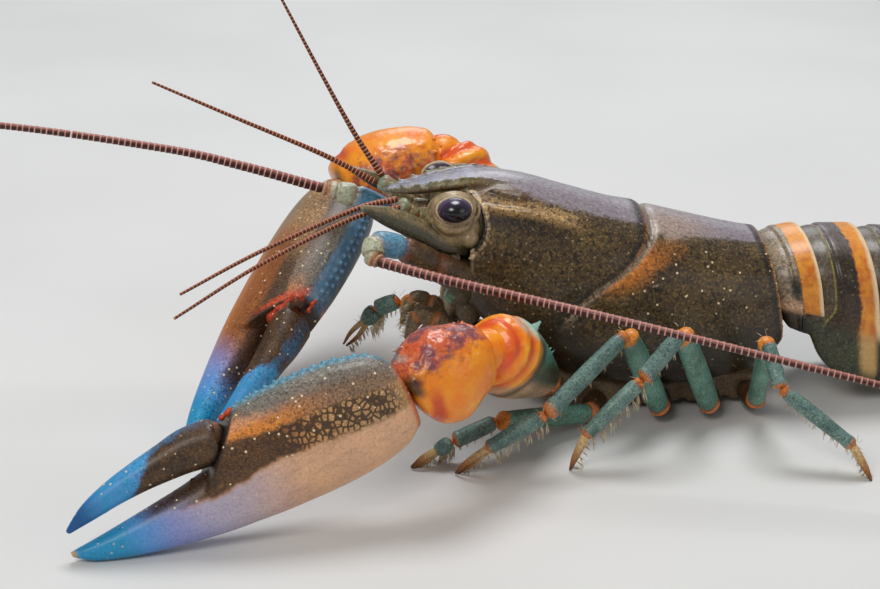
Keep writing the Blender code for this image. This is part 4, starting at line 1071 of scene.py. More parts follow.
def groove_paint(colour, gap, z):
    """Pale neck groove, a painted shadow in front of it under the overhanging front edge, and a thin orange
    line on its upper half.
    """
    fade = ease(14.5, 17.0, z)
    # Dark band in front of the groove: painted shadow of the raised front edge.
    colour = mix(colour, SOOT, band(gap, -1.5, -0.55, 0.35) * 0.75 * fade)
    colour = mix(colour, tone(128, 112, 94), band(gap, -0.35, 0.6, 0.2) * 0.85 * fade)
    return mix(colour, tone(150, 92, 44), band(gap, -0.55, -0.3, 0.1) * 0.8 * ease(21.0, 24.0, z))


def ridge_paint(colour, x, z):
    """Pale ridge behind the eye, brown above it and dark below it."""
    height = curve_at([(row[0], row[2]) for row in EYE_RIDGE], x)[0] + 0.3
    colour = mix(colour, TAN, band(z, height - 0.7, height + 1.1, 0.5) * ease(20.0, 16.0, x) * 0.65)
    below = band(z, height - 2.4, height - 0.9, 0.5) * ease(15.0, 9.0, x)
    colour = mix(colour, tone(34, 22, 14), below * 0.85)
    above = band(z, height + 1.0, height + 2.6, 0.6) * ease(16.0, 9.0, x)
    return mix(colour, tone(88, 60, 30), above * 0.75)


def carapace_paint(point):
    """Speckled olive brown, a pale mauve back with a painted highlight along its middle, and an orange patch
    behind the neck groove.
    """
    x, z = point.x, point.z
    side = abs(point.y)
    if x < 3.4 or (side < surface_width(x, z) - 1.6 and z > 20 and x < 7):
        return face_paint(point)
    low_line = curve_at(LOW_SHADE, x)[0]
    blotch = cloud(point, 5.0)
    colour = mix(OLIVE, UMBER, 0.45 + 0.5 * blotch)
    colour = mix(colour, tone(112, 76, 34), ease(17.0, 6.0, x) * ease(22.0, 15.0, z) * 0.7)
    colour = mix(colour, mix(SOOT, UMBER, 0.45), ease(low_line + 2.6, low_line - 2.6, z) * 0.85)
    gap = (x - groove_line(z)) * 0.8
    behind = ease(0.0, 0.6, gap)
    patch = behind * ease(7.0, 0.5, gap + 2.0 * blotch) * band(z, 20.2, 24.6, 1.8)
    colour = mix(colour, OCHRE, patch * 0.85)
    strip_edge = curve_at(BACK_STRIP, x)[0] + 0.35 * cloud(point, 1.6, 4.0)
    strip = ease(strip_edge + 0.45, strip_edge - 0.45, side) if z > 21 else 0.0
    back = mix(tone(136, 126, 134), tone(170, 146, 128), behind * ease(41.0, 31.0, x) * 0.7)
    # Paler toward the middle of the back: a painted highlight.
    back = mix(back, tone(184, 178, 188), ease(3.4, 0.4, side) * 0.45)
    back = mix(back, tone(120, 122, 148), ease(8.0, 1.0, x) * 0.8)
    colour = mix(colour, back, strip * 0.92)
    if x < 22 and side > strip_edge - 0.5:
        colour = ridge_paint(colour, x, z)
    colour = groove_paint(colour, gap, z)
    if x < 12.0:
        half, top, _ = curve_at(ROSTRUM_STATIONS, x)
        rim = band(side, half * 0.8, half * 1.02, 0.15) * ease(top - 1.2, top - 0.4, z)
        colour = mix(colour, tone(112, 98, 52), rim * 0.7 * ease(12.0, 5.0, x))
    distance = math.hypot(x - ORBIT_CENTRE[0], z - ORBIT_CENTRE[1]) - ORBIT_RADIUS
    if x < 7 and side > 4:
        colour = mix(colour, BEIGE, band(distance, 0.25, 0.7, 0.14) * 0.7)
        colour = mix(colour, SOOT, band(distance, -0.2, 0.26, 0.08))
    rear = x - CARAPACE_REAR_LEAN * (24.3 - z)
    colour = mix(colour, SOOT, band(rear, 43.9, 44.75, 0.2) * 0.8)
    colour = mix(colour, tone(168, 120, 72), ease(44.7, 44.95, rear) * 0.8)
    speckle = 1.0 - 0.62 * strip - 0.5 * ease(low_line + 1.0, low_line - 3.0, z) - 0.4 * patch
    dots = behind * band(z, 16.0, 24.0, 1.0) * ease(2.5, 5.0, gap)
    return colour, (max(speckle, 0.2), 0.0, 0.25 + 0.75 * dots)


def face_paint(point):
    """Rostrum, the narrow head between the eyes, and what lies in front of the carapace."""
    x, z = point.x, point.z
    side = abs(point.y)
    half, top, _ = curve_at(ROSTRUM_STATIONS, x)
    blotch = cloud(point, 2.0)
    if z > top - 1.6:
        upper = mix(SLATE, MAUVE, 0.4 + 0.5 * blotch)
        colour = mix(upper, tone(118, 110, 58), band(side, half * 0.74, half * 1.0, 0.15) * 0.8)
        under = ease(top - 0.5, top - 1.2, z) * ease(half * 0.6, half * 0.9, side)
        colour = mix(colour, tone(120, 84, 34), under)
        colour = mix(colour, tone(42, 36, 16), band(z, top - 1.5, top - 1.0, 0.2) * under)
        return colour, (0.55, 0.0, 0.4)
    colour = mix(BEIGE, tone(150, 140, 112), 0.5 + 0.5 * blotch)
    colour = mix(colour, tone(92, 70, 48), ease(26.0, 22.0, z) * 0.8)
    # Black toward the bottom: painted shade under the head.
    colour = mix(colour, SOOT, ease(20.0, 14.0, z) * 0.6)
    return colour, (0.35, 0.0, 0.2)


def make_carapace():
    """Carapace with rostrum, orbits, ridges, spines and the narrow head between the eyes."""
    shape = carapace_forms()
    rostrum_form(shape)
    ridges_and_spines(shape)
    middle = sum(CORE_HEIGHTS) / 2
    half_height = (CORE_HEIGHTS[1] - CORE_HEIGHTS[0]) / 2
    sweep(shape, ((CORE_REAR_X, 0, middle - 0.6), (CORE_FRONT_X, 0, middle)),
          ((ORBIT_INNER_Y - 0.1, half_height), (ORBIT_INNER_Y, half_height)), (0, 1, 0),
          steps=20, sides=40, rounds=(0.0, 1.0), power=4.0)
    finish_piece("carapace_with_rostrum", fuse(shape, CARAPACE_VOXEL, 2, carapace_paint),
                 CARAPACE_SHELL, "shell", ["carapace"])


def mouth_paint(point):
    """Brown and olive, with green gland openings and pale jaws."""
    place = (point.x, abs(point.y), point.z)
    colour = mix(tone(92, 70, 46), tone(64, 62, 40), 0.5 + 0.6 * cloud(point, 2.2))
    colour = mix(colour, tone(84, 132, 104), spot(place, (0.3, 6.8, 18.6), (1.5, 1.5, 1.4)))
    colour = mix(colour, CREAM, spot(place, (0.6, 2.0, 16.0), (2.6, 1.9, 2.4)) * 0.7)
    colour = mix(colour, CREAM, ease(0.4, -0.8, point.x) * ease(24.0, 24.8, point.z))
    return colour, (0.5, 0.0, 0.2)


def make_mouth_field():
    """What lies between the feelers' roots: the plate above the mouth, jaws and gland openings."""
    shape = new_shape()
    for centre, radii in MOUTH_PLATE:
        add_ball(shape, centre, radii, 16, 24)
    for _, side in SIDES:
        for (x, y, z), radii, rings, sides in MOUTH_SIDES:
            add_ball(shape, (x, side * y, z), radii, rings, sides)
        add_cone(shape, (1.6, side * 8.0, 24.6), (-0.9, side * 8.6, 25.2), 0.7, 10)
    finish_piece("mouth_field", fuse(shape, 0.24, 3, mouth_paint), HEAD_SHELL, "belly")


def underside_paint(point):
    """Pale brown with darker edges."""
    colour = mix(tone(176, 150, 116), tone(128, 102, 74), 0.5 + 0.7 * cloud(point, 3.0))
    return mix(colour, UMBER, ease(4.6, 5.8, abs(point.y)) * 0.5), (0.5, 0.0, 0.2)


def make_underside():
    """Breast plate between the legs, with a furrow between each pair of them."""
    rings = []
    steps = 120
    for index in range(steps + 1):
        x = 10.5 + (44.6 - 10.5) * index / steps
        low_edge = curve_at(CARAPACE_STATIONS, min(x, 39.0))[2]
        top = low_edge + UNDERSIDE_RISE - 1.0
        bottom = max(0.5, low_edge - 4.6)
        furrow = 0.5 * max(dip(x, mark, 0.7) for mark in (18.2, 26.0, 33.9, 40.2))
        middle, half = (top + bottom) / 2, (top - bottom) / 2
        ring = []
        for across, up in round_points(72, 2 / 7):
            y = (5.85 - furrow * 0.6) * across
            z = middle + half * up
            if up < 0:
                z += furrow * ease(1.2, 2.4, abs(y)) + 0.35 * ease(1.4, 0.4, abs(y))
            ring.append(Vector((x, y, z)))
        rings.append(ring)
    shape = new_shape()
    add_skin(shape, rings)
    lay_paint(shape, underside_paint)
    finish_piece("breast_plate", shape, LEG_SHELL, "belly", ["thorax_underside"])


# Eyes

def eye_distance(point):
    """Distance from the middle of the cornea, seen from the side, as a share of its radii."""
    x, _, z = EYE_CENTRE
    return math.hypot((point.x - x) / CORNEA_RADII[0], (point.z - z) / CORNEA_RADII[2])


def cornea_paint(point):
    """Purple black, turning lighter purple toward the rim as a painted sheen."""
    distance = eye_distance(point)
    # The purple that lightens toward the rim is a painted sheen.
    colour = mix(tone(12, 8, 16), tone(46, 34, 56), ease(0.45, 0.8, distance))
    return mix(colour, tone(86, 72, 98), ease(0.84, 0.98, distance) * 0.8), NO_MARKS


def stalk_paint(point):
    """Beige, with a cream rim next to the cornea and brown folds below."""
    distance = eye_distance(point)
    colour = mix(BEIGE, tone(142, 124, 92), 0.5 + 0.6 * cloud(point, 1.4))
    colour = mix(colour, CREAM, band(distance, 0.96, 1.14, 0.05) * ease(7.4, 7.9, abs(point.y)))
    colour = mix(colour, tone(104, 78, 52), band(distance, 1.09, 1.15, 0.04) * 0.8)
    colour = mix(colour, tone(112, 84, 58), band(distance, 1.34, 1.42, 0.05) * 0.7)
    colour = mix(colour, tone(92, 96, 66), ease(27.2, 25.8, point.z) * 0.7)
    colour = mix(colour, tone(88, 66, 44), ease(6.4, 4.4, abs(point.y)) * 0.8)
    return colour, (0.3, 0.0, 0.0)


def make_eye(name, side):
    """Cornea in a thick cream rim, on a cup-shaped stalk with folds round it; the far eye keeps one."""
    x, y, z = EYE_CENTRE
    shape = new_shape()
    add_ball(shape, (x, side * (y - 0.6), z), CORNEA_RADII, 48, 72)
    cut_flat(shape, (x, side * (CORNEA_PLANE_Y - 0.2), z), (0, -side, 0))
    lay_paint(shape, cornea_paint)
    finish_piece(f"eye_cornea_{name}", shape, CORNEA, "cornea", [f"eye_{name}"])
    shape = new_shape()
    path = [(x, side * reach, height) for reach, height, _, _ in STALK_ROWS]
    sweep(shape, path, [row[2:] for row in STALK_ROWS], (1, 0, 0), steps=30, sides=56, rounds=(0.6, 0.5),
          power=2.1)
    add_ball(shape, (1.5, side * 6.5, 28.2), (3.3, 1.4, 2.8), 24, 32)
    add_ball(shape, (3.2, side * 7.3, 26.9), (1.3, 1.0, 1.2), 14, 20)
    for radius, reach, thick in STALK_FOLDS if side < 0 else STALK_FOLDS[:1]:
        ring = []
        for degrees in range(0, 361, 15):
            angle = math.radians(degrees)
            ring.append((x + CORNEA_RADII[0] * radius * math.cos(angle), side * reach,
                         z - 0.96 * (radius - 1) + CORNEA_RADII[2] * radius * math.sin(angle)))
        sweep(shape, ring, [(thick, thick)] * len(ring), (0, 1, 0), steps=96, sides=12)
    finish_piece(f"eyestalk_cup_{name}", fuse(shape, 0.13, 3, stalk_paint), HEAD_SHELL, "stalk",
                 [f"eyestalk_{name}"])


# Abdomen

def smooth_ring(points, parts):
    """Closed smooth curve through points, with more points on it."""
    ring = []
    count = len(points)
    for index in range(count):
        before, here, after, beyond = (points[(index + shift) % count] for shift in (-1, 0, 1, 2))
        for part in range(parts):
            t = part / parts
            ring.append(0.5 * (
                2 * here + (after - before) * t + (2 * before - 5 * here + 4 * after - beyond) * t**2
                + (3 * here - before - 3 * after + beyond) * t**3))
    return ring


def arch(x, lean, half, top, low, lobe):
    """One abdomen ring: a round back, side lobes that hang down, and a raised belly."""
    belly = low + BELLY_SHARE * (top - low)
    waist = low + WAIST_SHARE * (top - low)
    tip = low - lobe
    pairs = []
    for index in range(15):
        angle = math.pi * index / 14
        pairs.append((half * power_of(math.cos(angle), 0.95), waist + (top - waist) * math.sin(angle)))
    lower = (
        (1.0, (waist + tip) / 2), (0.93, tip + LOBE_ROUNDING), (0.86, tip), (0.8, tip + LOBE_ROUNDING),
        (0.72, belly))
    pairs += [(-half * share, z) for share, z in lower]
    pairs.append((0.0, belly - BELLY_SAG))
    pairs += [(half * share, z) for share, z in reversed(lower)]
    ring = smooth_ring([Vector((0.0, y, z)) for y, z in pairs], 6)
    return [Vector((x + lean * (top - point.z), point.y, point.z)) for point in ring]


def segment_paint(number, share, point, top, low):
    """Dark brown with an orange rear band and a cream rim; the first segment is mostly band."""
    height = (point.z - low) / (top - low)
    blotch = cloud(point, 2.6, number * 3.0)
    crown = ease(0.82, 1.0, height)
    colour = mix(tone(60, 44, 28), tone(36, 27, 18), 0.5 + 0.6 * blotch)
    colour = mix(colour, tone(104, 94, 92), crown * 0.75)
    start = 0.62 + 0.04 * cloud(point, 1.2)
    if number == 1:
        start = 0.44
        front = mix(tone(150, 132, 108), tone(112, 98, 84), 0.5 + 0.6 * blotch)
        front = mix(front, tone(38, 40, 30), band(height, 0.42, 0.66, 0.1) * band(share, 0.22, 0.46, 0.06))
        front = mix(front, tone(206, 160, 128), ease(0.42, 0.3, height) * 0.8)
        colour = mix(front, colour, ease(start - 0.02, start + 0.03, share))
    else:
        crease = 0.26 - 0.1 * (1 - height)
        colour = mix(colour, tone(88, 76, 60), ease(crease, crease - 0.04, share) * 0.7)
        colour = mix(colour, tone(150, 138, 70), band(share, crease - 0.012, crease + 0.012, 0.012) * 0.9)
    orange = mix(tone(230, 152, 46), tone(196, 104, 30), 0.5 + 0.8 * cloud(point, 1.1))
    orange = mix(orange, AMBER, crown * 0.4)
    colour = mix(colour, orange, ease(start, start + 0.05, share) * (0.95 if number < 5 else 0.8))
    colour = mix(colour, CREAM, ease(0.86, 0.95, share + 0.02 * blotch) * 0.85)
    lobe = mix(tone(40, 44, 28), tone(56, 58, 34), 0.5 + 0.7 * blotch)
    lobe = mix(lobe, tone(190, 152, 92), band(share, 0.66, 0.9, 0.06) * ease(-0.2, -0.05, height))
    colour = mix(colour, tone(48, 40, 30) if number == 1 else lobe, ease(0.3, 0.16, height))
    if abs(point.y) < 5.6 and height < 0.45:
        colour = mix(tone(170, 140, 104), tone(196, 170, 130), 0.5 + 0.5 * blotch)
    return colour, (0.55 * (1 - ease(start, start + 0.1, share)) + 0.12, 0.0, 0.12)


def add_swimmerets(shape, x):
    """A pair of small leaf-like limbs below one tail segment."""
    half, top, low = curve_at(ABDOMEN_STATIONS, x)
    root = low + (BELLY_SHARE + 0.02) * (top - low)

    def tint(share, angle, point):
        return mix(tone(184, 150, 112), tone(120, 84, 60), share), (0.4, 0.0, 0.0)

    for _, side in SIDES:
        out = side * half * SWIMMERET_SPREAD
        path = [(x + back, out, root - drop) for back, drop, _, _ in SWIMMERET_ROWS]
        sizes = [(thick, broad) for _, _, thick, broad in SWIMMERET_ROWS]
        sweep(shape, path, sizes, (0, 1, 0), steps=24, sides=20, rounds=(0.0, 0.6), tint=tint)


def spread_plates(ring, tints, share, swell, half, top, low):
    """Draw the side lobes of a ring forward and out, with a black front rim, to large round plates."""
    for index, point in enumerate(ring):
        side = ease(0.6, 0.8, abs(point.y) / (half + swell))
        part = ease(0.36, 0.2, (point.z - low) / (top - low)) * side * ease(1.0, 0.0, share)
        colour, marks = tints[index]
        tints[index] = (mix(colour, SOOT, part * ease(0.0, -0.1, share)), marks)
        point.x -= PLATE_REACH * part
        point.y += math.copysign((PLATE_RISE - swell) * part, point.y)


def make_abdomen():
    """Six tail segments, each with a smooth front part, a step, a raised rear rim and side lobes."""
    for number in range(1, 7):
        front = ABDOMEN_STATIONS[number - 1][0] + 0.2
        rear = ABDOMEN_STATIONS[number][0] - 0.1
        depth = LOBE_DEPTHS[number - 1]
        rings = []
        tints = []
        first, last = SEGMENT_ROWS[0][0], SEGMENT_ROWS[-1][0]
        for step in range(SEGMENT_STEPS + 1):
            share = first + (last - first) * step / SEGMENT_STEPS
            swell, lobe, lift = curve_at(SEGMENT_ROWS, share)
            x = front + (rear - front) * share
            lean = CARAPACE_REAR_LEAN * (1 - (x - ABDOMEN_STATIONS[0][0]) / ABDOMEN_LEAN_LENGTH)
            half, top, low = curve_at(ABDOMEN_STATIONS, x)
            ring = arch(x, lean, half + swell, top + swell, low, depth * lobe - lift)
            rings.append(ring)
            tints.append([segment_paint(number, share, point, top, low) for point in ring])
            if number == PLATE_SEGMENT:
                spread_plates(ring, tints[-1], share, swell, half, top, low)
        shape = new_shape()
        add_skin(shape, rings, tints)
        if number in SWIMMERET_SEGMENTS:
            add_swimmerets(shape, (front + rear) / 2)
        finish_piece(f"abdomen_ring_{number}", shape, TAIL_SHELL, "band", [f"abdomen_{number}"])


# Tail fan

def add_blade(shape, root, tip, widths, thick, flat, ribs, seam):
    """Thin rounded blade, arched along its length, with a middle ridge, ribs and a cross seam."""
    root, tip = Vector(root), Vector(tip)
    last = len(widths) - 1
    path = []
    sizes = []
    for index, width in enumerate(widths):
        share = index / last
        path.append(root.lerp(tip, share) + Vector((0, 0, BLADE_ARCH * math.sin(math.pi * share))))
        sizes.append((width, thick * (1 - 0.45 * share)))

    def relief(share, angle):
        nearest = math.pi / 2 if math.sin(angle) > 0 else 3 * math.pi / 2
        ridge = 0.3 * dip(angle, nearest, 0.12) * ease(1.0, 0.8, share)
        rib = 0.05 * math.cos(ribs * math.cos(angle) * math.pi) * ease(0.1, 0.3, share)
        return ridge + (rib - 0.14 * dip(share, seam, 0.02)) * abs(math.sin(angle))

    def tint(share, angle, point):
        colour = mix(tone(66, 50, 30), tone(40, 32, 22), 0.5 + 0.6 * cloud(point, 2.0))
        at_seam = ease(seam - 0.16, seam, share) * ease(seam + 0.1, seam, share)
        colour = mix(colour, tone(196, 122, 48), at_seam)
        colour = mix(colour, tone(120, 100, 62), ease(seam, 0.95, share) * 0.7)
        colour = mix(colour, tone(200, 170, 118), ease(0.93, 1.0, share) * 0.8)
        colour = mix(colour, tone(150, 112, 60), ease(0.9, 1.0, abs(math.cos(angle))) * 0.5)
        return colour, (0.5, 0.0, 0.3)

    sweep(shape, path, sizes, flat, steps=72, sides=72, rounds=(0.6, 1.6), power=2.4, relief=relief,
          tint=tint)
    return path


def fan_fringe(bristles, path, widths, flat, part):
    """Fringe of fine bristles round the free end of a blade."""
    rows = path_rows(path)
    last = len(widths) - 1
    width_rows = [(index / last, width) for index, width in enumerate(widths)]
    flat = Vector(flat).normalized()
    for way in (-1, 1):
        for index in range(46):
            share = 0.42 + 0.56 * index / 45
            centre = Vector(curve_at(rows, share))
            along = (centre - Vector(curve_at(rows, share - 0.02))).normalized()
            wide = curve_at(width_rows, share)[0] * (1.0 if share < 0.9 else math.sqrt(
                max(1 - ((share - 0.9) / 0.1) ** 2, 0.02)))
            across = (flat - flat.dot(along) * along).normalized()
            edge = centre + across * way * wide * 0.97
            direction = across * way * (1.1 - share) + along * (0.25 + share)
            place = (share, 0.5 + way * 0.24 + part * 0.04)
            bristles.tuft(edge, direction, 1.6 - 1.1 * share, place, 2, 0.05, 0.12)


def make_tail_fan():
    """Telson and two uropod blades on each side, set one below the other, with their fringe."""
    rear_x, _, top, _ = ABDOMEN_STATIONS[-1]
    fringe = Bristles("tail_fan_fringe", "band")
    shape = new_shape()
    path = add_blade(
        shape, (rear_x, 0, top - TELSON_ROOT_DROP), (rear_x + TELSON_TIP[0], 0, TELSON_TIP[2]), TELSON_WIDTHS,
        TELSON_HALF_THICKNESS, (0, 1, 0), 3, 0.62)
    for _, side in SIDES:
        add_cone(shape, (rear_x + 7.4, side * 5.0, 10.0), (rear_x + 9.2, side * 5.35, 9.4), 0.4, 8,
                 rule=lambda point: (TAN, NO_MARKS))
    finish_piece("telson_blade", shape, TAIL_SHELL, "band", ["telson"])
    fan_fringe(fringe, path, TELSON_WIDTHS, (0, 1, 0), 0)
    blades = (
        ("inner", INNER_BLADE_ROOT, INNER_BLADE_TIP, INNER_BLADE_WIDTHS, 0.3, 0.78, 1),
        ("outer", OUTER_BLADE_ROOT, OUTER_BLADE_TIP, OUTER_BLADE_WIDTHS, -0.6, 0.6, 2))
    for name, side in SIDES:
        for part, (root_y, root_drop), (back, out, height), widths, turn, seam, number in blades:
            root = (rear_x, side * root_y, top - root_drop)
            tip = (rear_x + back, side * out, height)
            flat = (turn, side, 0.0)
            shape = new_shape()
            path = add_blade(shape, root, tip, widths, BLADE_HALF_THICKNESS, flat, 2, seam)
            finish_piece(f"uropod_{part}_{name}_blade", shape, TAIL_SHELL, "band", [f"uropod_{part}_{name}"])
            fan_fringe(fringe, path, widths, flat, number * side)
    fringe.finish()


# Feelers

def add_ringed_feeler(shape, points, radii, spacing, low, high, colours):
    """Tapering feeler of many short joints, each a little wider at its far end, with a pale edge and a paler
    upper side that is partly a painted highlight.
    """
    marks = [share for share in even_shares(points, spacing) if low <= share < high] + [high]
    shares = [start + (end - start) * phase
              for start, end in zip(marks, marks[1:]) for phase in RING_PHASES]
    phases = {share: RING_PHASES[index % len(RING_PHASES)] for index, share in enumerate(shares)}
    shares.append(high)
    dark, pale, upper = colours
    rows = path_rows(points)

    def radius_at(share):
        return radii[0] + (radii[1] - radii[0]) * share

    def relief(share, angle):
        phase = phases.get(share, 0.97)
        radius = radius_at(share)
        return radius * (-0.12 + 0.16 * phase if phase < 0.9 else -0.1)

    def tint(share, angle, point):
        # Paler toward the upper side: partly the feeler's own colour, partly a painted highlight of light
        # from above.
        lift = ease(0.35, 0.9, (point.z - curve_at(rows, share)[2]) / radius_at(share))
        colour = mix(dark, upper, lift * 0.75)
        edge = ease(PALE_EDGE_FROM, PALE_EDGE_FROM + 0.08, phases.get(share, 0.5))
        return mix(colour, pale, edge), (0.25, 0.0, 0.0)

    sizes = [(radius_at(index / (len(points) - 1)),) * 2 for index in range(len(points))]
    sweep(shape, points, sizes, (0, 0, 1), sides=14, power=2.0, relief=relief, tint=tint, shares=shares)


def peduncle_paint(share, point):
    """Brown root, blue joint, white-green bulb and a tan end, with faint red rings."""
    colour = mix(tone(66, 46, 30), tone(98, 78, 48), 0.5 + 0.6 * cloud(point, 1.6))
    blue = mix(tone(92, 146, 176), tone(116, 132, 122), 0.4 * cloud(point, 1.2))
    colour = mix(colour, blue, ease(0.38, 0.42, share))
    colour = mix(colour, IVORY, ease(0.59, 0.64, share))
    colour = mix(colour, tone(188, 146, 112), ease(0.84, 0.9, share))
    red = max(dip(share, joint, 0.03) for joint in PEDUNCLE_JOINTS)
    colour = mix(colour, tone(176, 70, 40), red * 0.4 * (0.5 + 0.6 * cloud(point, 1.0, 2.0)))
    return colour, (0.5, 0.0, 0.2)


def make_antenna(name, peduncle, points):
    """Long second feeler: a stout jointed root and its ringed flagellum in two lengths."""
    def relief(share, angle):
        return -0.32 * max(dip(share, joint, 0.018) for joint in PEDUNCLE_JOINTS)

    shape = new_shape()
    sweep(shape, (*peduncle, points[0]), PEDUNCLE_SIZES, (0, 0, 1), steps=90, sides=36, rounds=(0.8, 0.3),
          relief=relief, tint=lambda share, angle, point: peduncle_paint(share, point))
    finish_piece(f"antenna_root_{name}", shape, HEAD_SHELL, "peduncle", [f"antenna_peduncle_{name}"])
    for part, low, high in (("base", 0.0, 0.5), ("end", 0.5, 1.0)):
        shape = new_shape()
        # Colours: dark joints, pale edges, and the paler upper side that is partly a painted highlight.
        add_ringed_feeler(shape, points, FLAGELLUM_RADII, FLAGELLUM_RING, low, high,
                          (tone(56, 18, 15), tone(208, 150, 134), tone(172, 100, 88)))
        finish_piece(f"antenna_rings_{part}_{name}", shape, FEELER_SHELL, "feeler",
                     [f"antenna_flagellum_{part}_{name}"])


def make_antennal_scale(name, side):
    """Leaf-like plate beside each feeler, dark along its thick outer edge, with a spine at its tip."""
    path = ((3.0, side * 6.2, 24.9), (-0.6, side * 7.4, 26.4), (-4.0, side * 7.9, 28.9),
            (-8.2, side * 8.5, 31.1), (-11.8, side * 9.2, 32.7))
    sizes = ((0.6, 0.8), (0.65, 1.1), (0.6, 1.55), (0.5, 1.35), (0.3, 0.35))

    def tint(share, angle, point):
        colour = mix(tone(98, 90, 60), tone(132, 112, 80), 0.5 + 0.6 * cloud(point, 1.0))
        streak = ease(0.2, 0.6, cloud((point.x * 0.4, point.y, point.z), 0.8))
        colour = mix(colour, tone(160, 120, 76), streak * 0.5)
        colour = mix(colour, tone(44, 42, 22), ease(-0.3, 0.15, math.sin(angle) * side) * 0.9)
        return mix(colour, tone(150, 150, 116), ease(0.93, 1.0, share) * 0.5), (0.5, 0.0, 0.0)

    shape = new_shape()
    sweep(shape, path, sizes, (0.25, side * 0.8, 0.45), steps=60, sides=44, rounds=(0.4, 0.4), power=2.4,
          relief=lambda share, angle: 0.1 * dip(math.sin(angle) * side, -0.55, 0.16), tint=tint)
    finish_piece(f"antennal_leaf_{name}", shape, HEAD_SHELL, "peduncle", [f"antennal_scale_{name}"])


def make_antennule(name, side, end, outer, inner):
    """Small first feeler: a jointed root with two thin ringed flagella side by side."""
    end = Vector(end)
    normal = ((Vector(outer[0]) - end).normalized() + (Vector(inner[0]) - end).normalized()).normalized()
    apart = Vector(inner[0]) - Vector(outer[0])
    apart = (apart - apart.dot(normal) * normal).normalized() * ANTENNULE_APART
    path = ((CORE_FRONT_X, side * 1.75, 28.7), (-4.0, side * 2.7, 29.5), end)

    def relief(share, angle):
        return -0.22 * max(dip(share, 0.42, 0.03), dip(share, 0.72, 0.03))

    def tint(share, angle, point):
        colour = mix(tone(120, 108, 72), tone(186, 170, 130), 0.5 + 0.7 * cloud(point, 1.2))
        colour = mix(colour, tone(198, 76, 36), ease(0.25, 0.6, cloud(point, 0.9, 7.0)) * 0.7)
        return mix(colour, tone(110, 160, 150), ease(0.7, 0.95, share) * 0.4), (0.5, 0.0, 0.2)

    shape = new_shape()
    sweep(shape, path, ((1.25, 1.25), (1.0, 1.0), (1.1, 1.3)), (0, 1, 0), steps=48, sides=28,
          rounds=(0.4, 0.7), relief=relief, tint=tint)
    finish_piece(f"antennule_root_{name}", shape, HEAD_SHELL, "peduncle", [f"antennule_base_{name}"])
    # Colours: dark joints, pale edges, and the paler upper side that is partly a painted highlight.
    colours = (tone(84, 34, 18), tone(204, 138, 100), tone(156, 82, 52))
    for part, points, way in (("outer", outer, -1), ("inner", inner, 1)):
        shape = new_shape()
        add_ringed_feeler(shape, (end + apart * way, *points), ANTENNULE_RADII, ANTENNULE_RING, 0.0, 1.0,
                          colours)
        finish_piece(f"antennule_rings_{part}_{name}", shape, FEELER_SHELL, "feeler",
                     [f"antennule_{part}_flagellum_{name}"])


def make_maxilliped(name, side, bristles):
    """Outer mouth limb, lying forward below the head with its end bent down, fringed with bristles."""
    path = ((10.5, side * 2.7, 6.6), (4.0, side * 3.1, 10.0), (-1.2, side * 3.3, 14.0),
            (-3.6, side * 3.1, 14.4), (-5.0, side * 2.8, 11.0))
    sizes = ((1.5, 1.9), (1.5, 1.9), (1.3, 1.5), (1.1, 1.2), (0.4, 0.5))
    joints = (0.28, 0.52, 0.74)

    def tint(share, angle, point):
        colour = mix(tone(120, 100, 74), tone(82, 70, 52), 0.5 + 0.7 * cloud(point, 2.0))
        ring = max(dip(share, joint, 0.03) for joint in joints)
        return mix(colour, tone(190, 112, 56), ring * 0.7), (0.6, 0.0, 0.2)

    shape = new_shape()
    sweep(shape, path, sizes, (0, 1, 0), steps=80, sides=28, rounds=(0.6, 0.4), tint=tint,
          relief=lambda share, angle: -0.25 * max(dip(share, joint, 0.02) for joint in joints))
    finish_piece(f"maxilliped_limb_{name}", shape, LEG_SHELL, "belly", [f"maxilliped_{name}"])
    rows = path_rows(path)
    for index in range(44):
        share = 0.06 + 0.9 * index / 43
        inward = Vector((-0.2, -side, 0.15)).normalized()
        root = Vector(curve_at(rows, share)) + inward * 1.2 * (1.1 - share)
        bristles.tuft(root, inward + Vector((-0.6, 0, -0.4)), 2.2, (share, 0.3 + 0.2 * side), 4, 0.06, 0.3)


# Big claws and their arms

def joint_normal(before, joint, after):
    """Direction square to the face that two limb pieces share at a joint."""
    first = (Vector(joint) - Vector(before)).normalized()
    second = (Vector(after) - Vector(joint)).normalized()
    return (first + second).normalized()


def bend_normal(first, second, third):
    """Direction square to the plane in which a limb bends."""
    return (Vector(second) - Vector(first)).cross(Vector(third) - Vector(second)).normalized()


def outer_side(start, middle, end):
    """Direction square to a limb piece, on the outer side of the bend at its far end."""
    along = (Vector(middle) - Vector(start)).normalized()
    onward = (Vector(end) - Vector(middle)).normalized()
    return (along * along.dot(onward) - onward).normalized()


def share_along(point, start, end):
    """How far along a straight line a place lies, as a share of its length."""
    return (point - start).dot(end - start) / (end - start).length_squared


def along_limb(start, end, rows, bulge, scale):
    """Path and sizes of one limb piece from rows of share, half thickness, half breadth and bulge."""
    start, end = Vector(start), Vector(end)
    path = [start.lerp(end, share) + bulge * shift * scale for share, _, _, shift in rows]
    sizes = [(thick * scale, broad * scale) for _, thick, broad, _ in rows]
    return path, sizes


def claw_axes(base, tip, up, side):
    """Directions along a claw, toward its movable finger and out of its back."""
    along = (Vector(tip) - Vector(base)).normalized()
    toward = (Vector(up) - Vector(up).dot(along) * along).normalized()
    return along, toward, along.cross(toward) * side


def claw_frame(base, axes, scale, slim):
    """Matrix from claw measures along those directions to the model."""
    along, toward, out = axes
    turn = Matrix((along * scale, toward * scale * slim, out * scale)).transposed().to_4x4()
    return Matrix.Translation(base) @ turn


